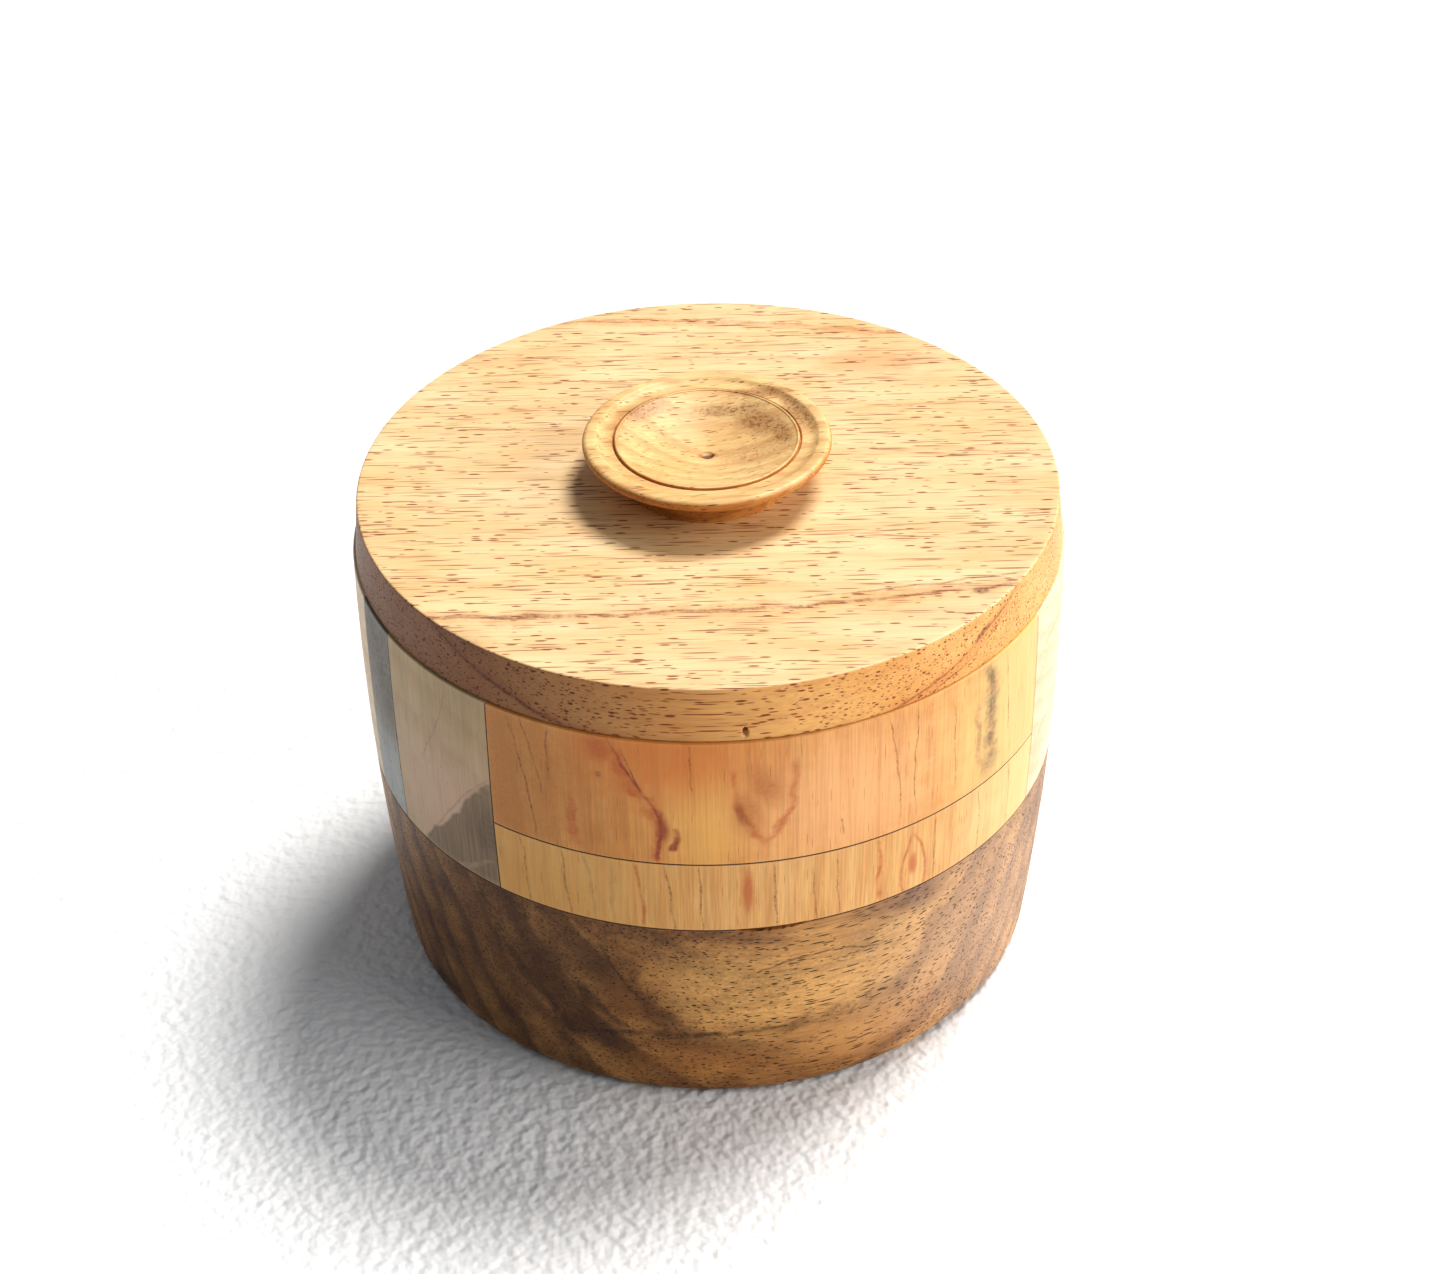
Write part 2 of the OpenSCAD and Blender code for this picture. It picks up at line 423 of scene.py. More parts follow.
class Effects:
    """The shared shader groups, each written once, when it is first asked for."""

    def __init__(self) -> None:
        """Starts with no group written."""
        self.written: dict[str, Tree] = {}

    def group(
        self,
        name: str,
        inputs: dict[str, float | None],
        outputs: Sequence[str],
        write: Callable[[Recipe, Sockets], Sockets],
    ) -> Tree:
        """Returns a group, writing it on first use.

        Args:
            name: The group's name.
            inputs: Name and starting value of each input; a vector input has None.
            outputs: Names of the outputs, all plain values.
            write: Fills the tree, given its recipe and input sockets, and returns the output sockets.

        Returns:
            The node group.
        """
        if name in self.written:
            return self.written[name]
        tree = bpy.data.node_groups.new(name, "ShaderNodeTree")
        for label, start in inputs.items():
            kind = "NodeSocketVector" if start is None else "NodeSocketFloat"
            socket = tree.interface.new_socket(label, in_out="INPUT", socket_type=kind)
            if start is not None:
                socket.default_value = start
        for label in outputs:
            kind = "NodeSocketVector" if label == "Place" else "NodeSocketFloat"
            tree.interface.new_socket(label, in_out="OUTPUT", socket_type=kind)
        entry = tree.nodes.new("NodeGroupInput")
        leave = tree.nodes.new("NodeGroupOutput")
        for label, socket in write(Recipe(tree), {s.name: s for s in entry.outputs}).items():
            tree.links.new(socket, leave.inputs[label])
        self.written[name] = tree
        return tree

    def wall_place(self) -> Tree:
        """Azimuth in degrees, and height and radius in millimetres, of a point."""

        def write(r: Recipe, given: Sockets) -> Sockets:
            place = r.scaled(given["Vector"], (1 / MM, 1 / MM, 1 / MM))
            x, y, z = r.parts(place)
            azimuth = r.math("DEGREES", r.math("ARCTAN2", x, r.times(y, -1.0)))
            radius = r.hypotenuse(x, y)
            return {"Azimuth": azimuth, "Height": z, "Radius": radius, "Place": place}

        return self.group("Wall Place", {"Vector": None}, ["Azimuth", "Height", "Radius", "Place"], write)

    def streak(self) -> Tree:
        """A tapered line with soft sides and ends, for gum lines, mineral streaks and ring lines."""
        inputs = {
            "Across": 0.0, "Along": 0.0,
            "Start Across": 0.0, "Start Along": 0.0,
            "End Across": 0.0, "End Along": 1.0,
            "Start Width": 0.3, "End Width": 0.3,
            "Softness": 0.5, "Bow": 0.0,
        }

        def write(r: Recipe, given: Sockets) -> Sockets:
            spot = r.vector(given["Across"], given["Along"], given["Start Across"])
            waver = r.minus(r.noise(spot, 0.16, 3.0, 0.6), 0.5)
            fading = r.soft(r.noise(spot, 0.33, 3.0, 0.65), 0.3, 0.62, 0.3, 1.0)
            length = r.minus(given["End Along"], given["Start Along"])
            share = r.over(r.minus(given["Along"], given["Start Along"]), length)
            inside = r.clamped(share)
            lean = r.minus(given["End Across"], given["Start Across"])
            hump = r.times(r.minus(1.0, inside), r.times(inside, 4.0))
            centre = r.times_plus(lean, inside, given["Start Across"])
            centre = r.times_plus(hump, given["Bow"], centre)
            reach = r.plus(r.times(given["Softness"], 2.6), 0.6)
            centre = r.times_plus(waver, reach, centre)
            widening = r.minus(given["End Width"], given["Start Width"])
            width = r.times_plus(widening, inside, given["Start Width"])
            distance = r.math("ABSOLUTE", r.minus(given["Across"], centre))
            core = r.soft(distance, width, r.plus(width, given["Softness"]), 1.0, 0.0)
            patchy = r.soft(width, 0.8, 2.5, 1.0, 0.0)
            fading = r.times_plus(r.minus(fading, 1.0), patchy, 1.0)
            core = r.times(r.times(core, core), fading)
            begins = r.soft(share, -0.07, 0.1)
            stops = r.soft(share, 0.9, 1.07, 1.0, 0.0)
            return {"Mask": r.times(core, r.times(begins, stops))}

        return self.group("Streak", inputs, ["Mask"], write)

    def blotch(self) -> Tree:
        """A soft oval patch, for knots and stains, and for painted shade and painted sheen."""
        inputs = {
            "First": 0.0, "Second": 0.0,
            "First Centre": 0.0, "Second Centre": 0.0,
            "First Half": 1.0, "Second Half": 1.0,
            "Softness": 0.4, "Lean": 0.0,
        }

        def write(r: Recipe, given: Sockets) -> Sockets:
            second = r.minus(given["Second"], given["Second Centre"])
            first = r.minus(given["First"], given["First Centre"])
            first = r.minus(first, r.times(given["Lean"], second))
            first = r.over(first, given["First Half"])
            second = r.over(second, given["Second Half"])
            distance = r.hypotenuse(first, second)
            spot = r.vector(given["First"], given["Second"], 0.0)
            ragged = r.minus(r.noise(spot, 0.3, 3.0, 0.6), 0.5)
            distance = r.times_plus(ragged, 0.9, distance)
            inner = r.minus(1.0, given["Softness"])
            outer = r.plus(1.0, given["Softness"])
            return {"Mask": r.soft(distance, inner, outer, 1.0, 0.0)}

        return self.group("Blotch", inputs, ["Mask"], write)

    def figure(self) -> Tree:
        """Growth rings, fibres and mottle of a wood whose grain runs along the vector's first part."""
        inputs = {
            "Grain": None, "Ring Depth": 0.0, "Ring Gap": 6.0,
            "Ring Wander": 3.0, "Fibre Length": 14.0, "Fibre Pitch": 0.45,
        }

        def write(r: Recipe, given: Sockets) -> Sockets:
            grain = given["Grain"]
            wander = r.noise(r.scaled(grain, (0.016, 0.045, 0.045)), 1.0, 3.0)
            wander = r.times(r.minus(wander, 0.5), given["Ring Wander"])
            depth = r.plus(given["Ring Depth"], wander)
            phase = r.math("FRACT", r.over(depth, given["Ring Gap"]))
            rise = r.soft(phase, 0.25, 0.9)
            rings = r.times(rise, r.soft(phase, 0.84, 1.0, 1.0, 0.0))
            along = r.over(1.0, given["Fibre Length"])
            over = r.over(1.0, given["Fibre Pitch"])
            fibres = r.noise(r.scaled(grain, r.vector(along, over, over)), 1.0, 3.0, 0.6)
            mottle = r.noise(r.scaled(grain, (0.05, 0.13, 0.13)), 1.0, 3.0, 0.55)
            return {"Rings": rings, "Fibres": fibres, "Mottle": mottle}

        return self.group("Wood Figure", inputs, ["Rings", "Fibres", "Mottle"], write)

    def pores(self) -> Tree:
        """Open pores: long dashes on a side-grain face, and dots on an end-grain face."""
        inputs = {
            "Grain": None, "Length": 12.0, "Pitch": 1.0,
            "Size": 0.3, "Share": 0.7, "Shift": 0.0,
        }

        def write(r: Recipe, given: Sockets) -> Sockets:
            along = r.over(1.0, given["Length"])
            over = r.over(1.0, given["Pitch"])
            cells = r.shifted(r.scaled(given["Grain"], r.vector(along, over, over)), given["Shift"])
            made = r.node("ShaderNodeTexVoronoi", {"Vector": cells, "Scale": 1.0}, feature="F1")
            chance, girth, _ = r.parts(made.outputs["Color"])
            size = r.times(given["Size"], r.soft(girth, 0.0, 1.0, 0.55, 1.25))
            spot = r.soft(made.outputs["Distance"], r.times(size, 0.55), size, 1.0, 0.0)
            present = r.math("LESS_THAN", chance, given["Share"])
            return {"Mask": r.times(spot, present)}

        return self.group("Open Pores", inputs, ["Mask"], write)

    def lathe_finish(self) -> Tree:
        """Faint rings that a turning tool and sandpaper leave, and the rub of many hands."""
        inputs = {"Height": 0.0, "Radius": 0.0, "Place": None}

        def write(r: Recipe, given: Sockets) -> Sockets:
            rings = r.noise(r.vector(given["Radius"], given["Height"], 0.0), 3.2, 3.0, 0.65)
            rub = r.noise(given["Place"], 0.07, 4.0, 0.6)
            return {"Ripple": rings, "Rub": rub}

        return self.group("Lathe Finish", inputs, ["Ripple", "Rub"], write)

    def edge_wear(self) -> Tree:
        """Where fingers and cloths have rubbed the crisp edges."""

        def write(r: Recipe, given: Sockets) -> Sockets:
            sharpness = r.node("ShaderNodeNewGeometry").outputs["Pointiness"]
            patchy = r.soft(r.noise(given["Place"], 0.35, 3.0), 0.3, 0.65, 0.35, 1.0)
            return {"Wear": r.times(r.soft(sharpness, 0.515, 0.58), patchy)}

        return self.group("Edge Wear", {"Place": None}, ["Wear"], write)

    def spun_metal(self) -> Tree:
        """Fine rings of a spun or polished steel cup, with a few handling scratches and smudges."""
        inputs = {
            "Place": None, "Centre X": 0.0, "Centre Y": 0.0,
            "Ring Scale": 9.0,
        }

        def write(r: Recipe, given: Sockets) -> Sockets:
            x, y, z = r.parts(given["Place"])
            x = r.minus(x, given["Centre X"])
            y = r.minus(y, given["Centre Y"])
            radius = r.hypotenuse(x, y)
            scale = given["Ring Scale"]
            turned = r.scaled(r.vector(radius, z, 0.0), r.vector(scale, scale, 0.0))
            rings = r.noise(turned, 1.0, 4.0, 0.7)
            smudge = r.noise(given["Place"], 0.16, 5.0, 0.62)
            scratch = r.node("ShaderNodeTexVoronoi", {"Vector": r.scaled(given["Place"], (0.5, 0.09, 0.3))},
                             feature="DISTANCE_TO_EDGE").outputs["Distance"]
            return {"Rings": rings, "Smudge": smudge, "Scratch": r.soft(scratch, 0.0, 0.012, 1.0, 0.0)}

        return self.group("Spun Metal", inputs, ["Rings", "Smudge", "Scratch"], write)


EFFECTS = Effects()


def start_material(name: str) -> tuple[Material, Recipe, Node]:
    """Starts an empty material.

    Args:
        name: The material's name.

    Returns:
        The material, its recipe, and the placed group that says where on the wall a point is.
    """
    made = bpy.data.materials.new(name)
    made.use_nodes = True
    made.node_tree.nodes.clear()
    r = Recipe(made.node_tree)
    return made, r, r.use(EFFECTS.wall_place(), vector=r.node("ShaderNodeTexCoord").outputs["Object"])


class Run(Enum):
    """Which way a streak runs over a face."""

    ALONG_FIRST = "along the first coordinate"
    ALONG_SECOND = "along the second coordinate"


class GrainAxis(Enum):
    """The direction of a block's fibres."""

    SIDEWAYS = "x"
    UPRIGHT = "z"


class FaceMap(Enum):
    """What a wood's marks are placed by."""

    WALL = "azimuth in degrees and height in millimetres"
    LID = "x in millimetres and depth through the growth rings in millimetres"
    DISH = "x and y in millimetres"


@dataclass(frozen=True)
class Streak:
    """A line in the wood, from start to end in the face's two coordinates."""

    start: Point
    end: Point
    width: float = 0.2
    end_width: float | None = None
    softness: float = 0.5
    bow: float = 0.0
    run: Run = Run.ALONG_SECOND

    def mask(self, r: Recipe, first: Socket, second: Socket) -> Socket:
        """Adds the streak to a recipe and returns its mask."""
        across, along, a, b = (first, second, self.start, self.end)
        if self.run is Run.ALONG_FIRST:
            across, along, a, b = (second, first, self.start[::-1], self.end[::-1])
        made = r.use(
            EFFECTS.streak(), across=across, along=along, start_across=a[0], start_along=a[1],
            end_across=b[0], end_along=b[1], start_width=self.width,
            end_width=self.width if self.end_width is None else self.end_width,
            softness=self.softness, bow=self.bow,
        )
        return made.outputs[0]


def across(
    start: Point, end: Point, width: float = 0.2, end_width: float | None = None, **more: float
) -> Streak:
    """A streak that runs along the first coordinate."""
    return Streak(start, end, width, end_width, run=Run.ALONG_FIRST, **more)


def threads(top: float, bottom: float, *lines: tuple[float, ...]) -> tuple[Streak, ...]:
    """Fine dark threads of gum down a wall.

    Args:
        top: Height of their upper ends.
        bottom: Height of their lower ends.
        *lines: Upper and lower azimuth, width, softness and bow of each.

    Returns:
        The threads.
    """
    return tuple(Streak((a, top), (b, bottom), w, softness=soft, bow=bow) for a, b, w, soft, bow in lines)


@dataclass(frozen=True)
class Blotch:
    """An oval patch in the wood, in the face's two coordinates."""

    centre: Point
    half: Point
    softness: float = 0.45
    lean: float = 0.0

    def mask(self, r: Recipe, first: Socket, second: Socket) -> Socket:
        """Adds the patch to a recipe and returns its mask."""
        made = r.use(
            EFFECTS.blotch(), first=first, second=second, first_centre=self.centre[0],
            second_centre=self.centre[1], first_half=self.half[0], second_half=self.half[1],
            softness=self.softness, lean=self.lean,
        )
        return made.outputs[0]


@dataclass(frozen=True)
class Tone:
    """One colour that a set of marks brings to the wood: figure and stains, and in some woods painted shade
    and painted sheen.
    """

    colour: Colour
    strength: float
    marks: tuple[Streak | Blotch, ...]
    speckle: float = 0.0


@dataclass(frozen=True)
class PoreLayer:
    """One size of open pore, in millimetres."""

    length: float
    pitch: float
    size: float
    share: float
    strength: float
    shift: float = 0.0


@dataclass(frozen=True)
class WoodFinish:
    """An oiled and polished wood: its colours, grain, pores and the marks of this very block, with painted
    shade and painted sheen among them.
    """

    name: str
    light: Colour
    deep: Colour
    ring_colour: Colour
    ring_strength: float
    ring_slope: tuple[float, float, float]
    ring_gap: float
    ring_wander: float
    grain: GrainAxis
    grain_turn: float = 0.0
    ring_shift: float = 0.0
    face: FaceMap = FaceMap.WALL
    fibre_length: float = 14.0
    fibre_pitch: float = 0.45
    fibre_strength: float = 0.3
    pore_colour: Colour = tint(92, 50, 30)
    pores: tuple[PoreLayer, ...] = ()
    tones: tuple[Tone, ...] = ()
    grey_mottle: float = 0.0
    # Steep faces are multiplied by a side colour, partly the darker end grain and partly painted shade.
    # Across the fade range a darker colour of painted shade takes over on the left, the side turned from the
    # lights.
    side_grain_and_shade: Colour | None = None
    left_painted_shade: Colour | None = None
    left_shade_fade: Point = (-46.0, 18.0)
    wear_share: float = 0.3
    warp: float = 0.8
    roughness: float = 0.42
    coat: float = 0.05
    bump: float = 0.35

    def material(self) -> Material:
        """Writes the wood's material."""
        made, r, where = start_material(self.name)
        place = where.outputs["Place"]
        x, y, z = r.parts(place)
        grain = r.vector(z, x, y) if self.grain is GrainAxis.UPRIGHT else place
        if self.grain_turn:
            turned = {"Vector": grain, "Angle": math.radians(-self.grain_turn)}
            grain = r.node("ShaderNodeVectorRotate", turned, rotation_type="Z_AXIS").outputs[0]
        slope = r.node("ShaderNodeVectorMath", {0: place, 1: self.ring_slope}, operation="DOT_PRODUCT")
        depth = r.plus(slope.outputs["Value"], self.ring_shift)
        figure = r.use(
            EFFECTS.figure(), grain=grain, ring_depth=depth, ring_gap=self.ring_gap,
            ring_wander=self.ring_wander, fibre_length=self.fibre_length, fibre_pitch=self.fibre_pitch,
        ).outputs
        first, second = self.face_coordinates(r, where, x, y, z)
        colour = self.base_colour(r, figure)
        colour = self.toned(r, colour, first, second, place, figure["Fibres"])
        pores = self.pore_mask(r, grain)
        colour = r.blend(pores, colour, self.pore_colour)
        # Painted shade on steep faces, partly end-grain colour, darker still on the left side, which is
        # turned from the lights.
        if self.side_grain_and_shade is not None:
            upright = r.math("ABSOLUTE", r.parts(r.node("ShaderNodeTexCoord").outputs["Normal"])[2])
            left_shade_share = r.soft(first, *self.left_shade_fade, 1.0, 0.0)
            shade = r.blend(left_shade_share, self.side_grain_and_shade, self.left_painted_shade or self.side_grain_and_shade)
            colour = r.blend(r.soft(upright, 0.9, 0.4), colour, shade, "MULTIPLY")
        wear = r.use(EFFECTS.edge_wear(), place=place).outputs[0]
        colour = r.blend(r.times(wear, self.wear_share), colour, self.light)
        turned = r.use(EFFECTS.lathe_finish(), height=z, radius=where.outputs["Radius"], place=place).outputs
        roughness = r.times_plus(turned["Rub"], 0.16, self.roughness - 0.08)
        roughness = r.times_plus(pores, 0.25, roughness)
        roughness = r.times_plus(wear, -0.08, roughness)
        relief = r.times_plus(figure["Fibres"], 0.25, r.times(turned["Ripple"], 0.12))
        relief = r.minus(relief, r.times(pores, 1.4))
        oil = {"Coat Weight": self.coat, "Coat Roughness": 0.3, "IOR": 1.48, "Specular IOR Level": 0.34}
        r.surface(colour, roughness, relief, bump=self.bump, depth=0.12, more=oil)
        return made

    def face_coordinates(
        self, r: Recipe, where: Node, x: Socket, y: Socket, z: Socket
    ) -> tuple[Socket, Socket]:
        """The two coordinates that this wood's marks are placed by, slightly wandering as real figure does.

        Args:
            r: The material's recipe.
            where: The placed wall-place group.
            x: The point's x in millimetres.
            y: The point's y in millimetres.
            z: The point's height in millimetres.

        Returns:
            The first and the second coordinate.
        """
        if self.face is FaceMap.WALL:
            first, second = where.outputs["Azimuth"], where.outputs["Height"]
            stretch = (0.11, 0.11, 0.05)
        elif self.face is FaceMap.LID:
            lean = self.ring_slope[2] / self.ring_slope[1]
            first, second = x, r.times_plus(r.minus(z, 90.0), lean, y)
            stretch = (0.05, 0.16, 0.16)
        else:
            first, second = x, y
            stretch = (0.3, 0.3, 0.3)
        wobble = r.noise(r.scaled(where.outputs["Place"], stretch), 1.0, 3.0, 0.6)
        offset = r.times(r.minus(wobble, 0.5), 2.0 * self.warp)
        return r.plus(first, offset), r.plus(second, offset)

    def base_colour(self, r: Recipe, figure: bpy.types.bpy_prop_collection) -> Socket:
        """The wood's own colour before any mark: mottle, rings and fibres."""
        body = r.ramp(figure["Mottle"], [(0.25, self.deep), (0.72, self.light)])
        if self.grey_mottle:
            speckled = r.soft(figure["Fibres"], 0.42, 0.62)
            body = r.blend(r.times(speckled, self.grey_mottle), body, self.ring_colour)
        body = r.blend(r.times(figure["Rings"], self.ring_strength), body, self.ring_colour)
        darkest, lightest = 1.0 - self.fibre_strength, 1.0 + 0.35 * self.fibre_strength
        fibre = r.soft(figure["Fibres"], 0.3, 0.7, darkest, lightest)
        return r.blend(1.0, body, r.vector(fibre, fibre, fibre), "MULTIPLY")

    def toned(
        self, r: Recipe, colour: Socket, first: Socket, second: Socket, place: Socket, fibres: Socket
    ) -> Socket:
        """Lays this block's marks, with painted shade and painted sheen among them, over its base colour.

        Args:
            r: The material's recipe.
            colour: The base colour.
            first: The face's first coordinate.
            second: The face's second coordinate.
            place: The point in millimetres.
            fibres: The fibre noise, which breaks the marks up.

        Returns:
            The colour with its marks.
        """
        grainy = r.soft(fibres, 0.3, 0.6, 0.72, 1.0)
        speckles = r.soft(r.noise(place, 1.5, 3.0, 0.7), 0.48, 0.6)
        for tone in self.tones:
            mask: Socket | None = None
            for mark in tone.marks:
                found = mark.mask(r, first, second)
                mask = found if mask is None else r.math("MAXIMUM", mask, found)
            broken = r.times(mask, r.times(grainy, tone.strength))
            if tone.speckle:
                spots = r.times_plus(speckles, tone.speckle, 1.0 - tone.speckle)
                broken = r.times(broken, spots)
            colour = r.blend(broken, colour, tone.colour)
        return colour

    def pore_mask(self, r: Recipe, grain: Socket) -> Socket:
        """All pore layers as one mask."""
        mask: Value = 0.0
        for layer in self.pores:
            found = r.use(
                EFFECTS.pores(), grain=grain, length=layer.length, pitch=layer.pitch,
                size=layer.size, share=layer.share, shift=layer.shift,
            ).outputs[0]
            mask = r.math("MAXIMUM", mask, r.times(found, layer.strength))
        return r.clamped(mask)


@dataclass(frozen=True)
class SteelFinish:
    """Spun or polished stainless steel."""

    name: str
    colour: Colour = tint(208, 208, 210)
    roughness: float = 0.24
    ring_scale: float = 9.0

    def material(self, centre: Point = (0.0, 0.0)) -> Material:
        """Writes the steel's material.

        Args:
            centre: The axis of the piece, as (x, y) in metres, which its turned rings go round.

        Returns:
            The new material.
        """
        made, r, where = start_material(self.name)
        spun = r.use(
            EFFECTS.spun_metal(), place=where.outputs["Place"], centre_x=centre[0] / MM,
            centre_y=centre[1] / MM, ring_scale=self.ring_scale,
        ).outputs
        roughness = r.times_plus(spun["Rings"], 0.12, self.roughness - 0.06)
        roughness = r.times_plus(r.soft(spun["Smudge"], 0.4, 0.75), 0.07, roughness)
        shade = r.soft(spun["Smudge"], 0.35, 0.75, 1.0, 0.93)
        colour = r.blend(1.0, self.colour, r.vector(shade, shade, shade), "MULTIPLY")
        colour = r.blend(r.times(spun["Scratch"], 0.25), colour, tint(150, 150, 152))
        relief = r.minus(spun["Rings"], r.times(spun["Scratch"], 0.6))
        r.surface(colour, roughness, relief, bump=0.12, depth=0.05, more={"Metallic": 1.0})
        return made


@dataclass(frozen=True)
class GlueFinish:
    """The dark hairline of old glue between two blocks."""

    name: str = "glue_line"
    colour: Colour = tint(70, 44, 26)

    def material(self) -> Material:
        """Writes the glue's material."""
        made, r, where = start_material(self.name)
        patchy = r.noise(where.outputs["Place"], 0.6, 4.0, 0.6)
        colour = r.ramp(patchy, [(0.3, tint(38, 22, 14)), (0.7, self.colour)])
        roughness = r.times_plus(patchy, 0.3, 0.5)
        r.surface(colour, roughness, patchy, bump=0.4, depth=0.1)
        return made


# ---------------------------------------------------------------------------------------------
# The woods of this box

LID_WOOD = WoodFinish(
    name="lid_wood",
    light=tint(228, 198, 154),
    deep=tint(216, 176, 124),
    ring_colour=tint(204, 156, 106),
    ring_strength=0.2,
    ring_slope=(0.02, 1.0, -1.79),
    ring_gap=8.0,
    ring_wander=5.0,
    grain=GrainAxis.SIDEWAYS,
    face=FaceMap.LID,
    fibre_length=26.0,
    fibre_pitch=0.5,
    fibre_strength=0.12,
    pore_colour=tint(126, 62, 34),
    pores=(
        PoreLayer(length=13.0, pitch=0.58, size=0.26, share=1.0, strength=0.85),
        PoreLayer(length=22.0, pitch=0.5, size=0.21, share=1.0, strength=0.7, shift=7.3),
        PoreLayer(length=16.0, pitch=0.54, size=0.24, share=1.0, strength=0.75, shift=13.7),
        PoreLayer(length=4.0, pitch=0.75, size=0.27, share=0.8, strength=0.9, shift=3.1),
    ),
    tones=(
        Tone(tint(198, 132, 78), 0.45, (
            across((-56, -39.0), (56, -31.9), 0.9, softness=2.6, bow=-4.1),
            across((-34, 53.5), (44, 46.5), 0.5, softness=1.8, bow=1.6),
            Blotch((30, 37), (9, 5), 0.6),
        )),
        Tone(tint(96, 44, 36), 0.85, (
            across((-60, -39.2), (12, -39.0), 0.3, 0.15, softness=0.6, bow=-1.0),
            across((-62, -39.4), (-20, -39.6), 0.35, 0.1, softness=0.4, bow=-0.2),
            across((10, -38.8), (60, -31.6), 0.16, 0.12, softness=0.6, bow=-0.8),
            across((14, -36.2), (52, -30.0), 0.05, 0.04, softness=0.4, bow=-0.6),
            Blotch((44, -35.4), (1.3, 1.0)),
            Blotch((-46, -47.0), (7.0, 3.0), 0.9),
        ), speckle=0.35),
        Tone(tint(156, 92, 54), 0.6, (
            across((-28, 53.6), (0, 53.2), 0.15, softness=0.7),
            across((0, 53.2), (38, 47.0), 0.2, softness=0.8, bow=0.8),
        ), speckle=0.5),
        Tone(tint(182, 118, 72), 0.45, (
            across((-44, 40.5), (30, 38.0), 0.15, softness=0.5, bow=1.0),
            across((-50, 27.0), (-16, 26.2), 0.15, softness=0.5),
            across((22, 20.5), (56, 24.0), 0.1, softness=0.6),
            across((-54, 4.5), (-22, 3.0), 0.1, softness=0.5),
        ), speckle=0.5),
    ),
    # The rim is multiplied by an orange side colour, partly its end grain and partly painted shade. Its left
    # part takes a dark brown of painted shade.
    side_grain_and_shade=tint(254, 222, 176),
    left_painted_shade=tint(150, 116, 92),
    roughness=0.46,
    bump=0.45,
)

KNOB_WOOD = WoodFinish(
    name="knob_wood",
    light=tint(228, 194, 138),
    deep=tint(210, 164, 104),
    ring_colour=tint(180, 118, 68),
    ring_strength=0.35,
    ring_slope=(0.2, 1.0, -1.5),
    ring_gap=5.0,
    ring_wander=4.0,
    grain=GrainAxis.SIDEWAYS,
    grain_turn=8.0,
    face=FaceMap.DISH,
    fibre_length=14.0,
    fibre_pitch=0.4,
    fibre_strength=0.2,
    pore_colour=tint(124, 68, 38),
    pores=(
        PoreLayer(length=5.0, pitch=0.55, size=0.23, share=0.8, strength=0.8),
        PoreLayer(length=2.6, pitch=0.5, size=0.24, share=0.5, strength=0.6, shift=4.1),
    ),
    tones=(
        Tone(tint(128, 76, 36), 0.9, (
            Blotch((9.0, 7.0), (3.4, 4.6), 0.6, lean=-0.7),
            Blotch((4.0, 10.6), (6.0, 1.3), 0.6, lean=-0.5),
            Blotch((-11.0, 9.5), (2.4, 3.0), 0.7, lean=0.8),
            Blotch((15.6, 7.6), (1.6, 5.5), 0.5, lean=-0.4),
            Blotch((9.5, 14.4), (4.5, 1.4), 0.6, lean=-0.8),
            Blotch((12.5, 3.0), (1.6, 4.6), 0.6, lean=-0.3),
        ), speckle=0.45),
        Tone(tint(168, 108, 58), 0.6, (
            Blotch((7.0, -2.0), (5.0, 3.0), 0.7),
            Blotch((-15.5, 2.0), (1.4, 6.0), 0.6),
        ), speckle=0.6),
        # Dark spot at the dish centre: partly the centre mark's own colour, partly painted shade of it.
        Tone(tint(96, 48, 28), 0.9, (Blotch((0, -0.2), (1.3, 0.7), 0.5),)),
    ),
    # Steep faces, among them the lip's side and the cove under it, are darkened: partly end grain, partly
    # painted shade under the lip.
    side_grain_and_shade=tint(226, 190, 150),
    warp=0.7,
    roughness=0.48,
    bump=0.5,
)

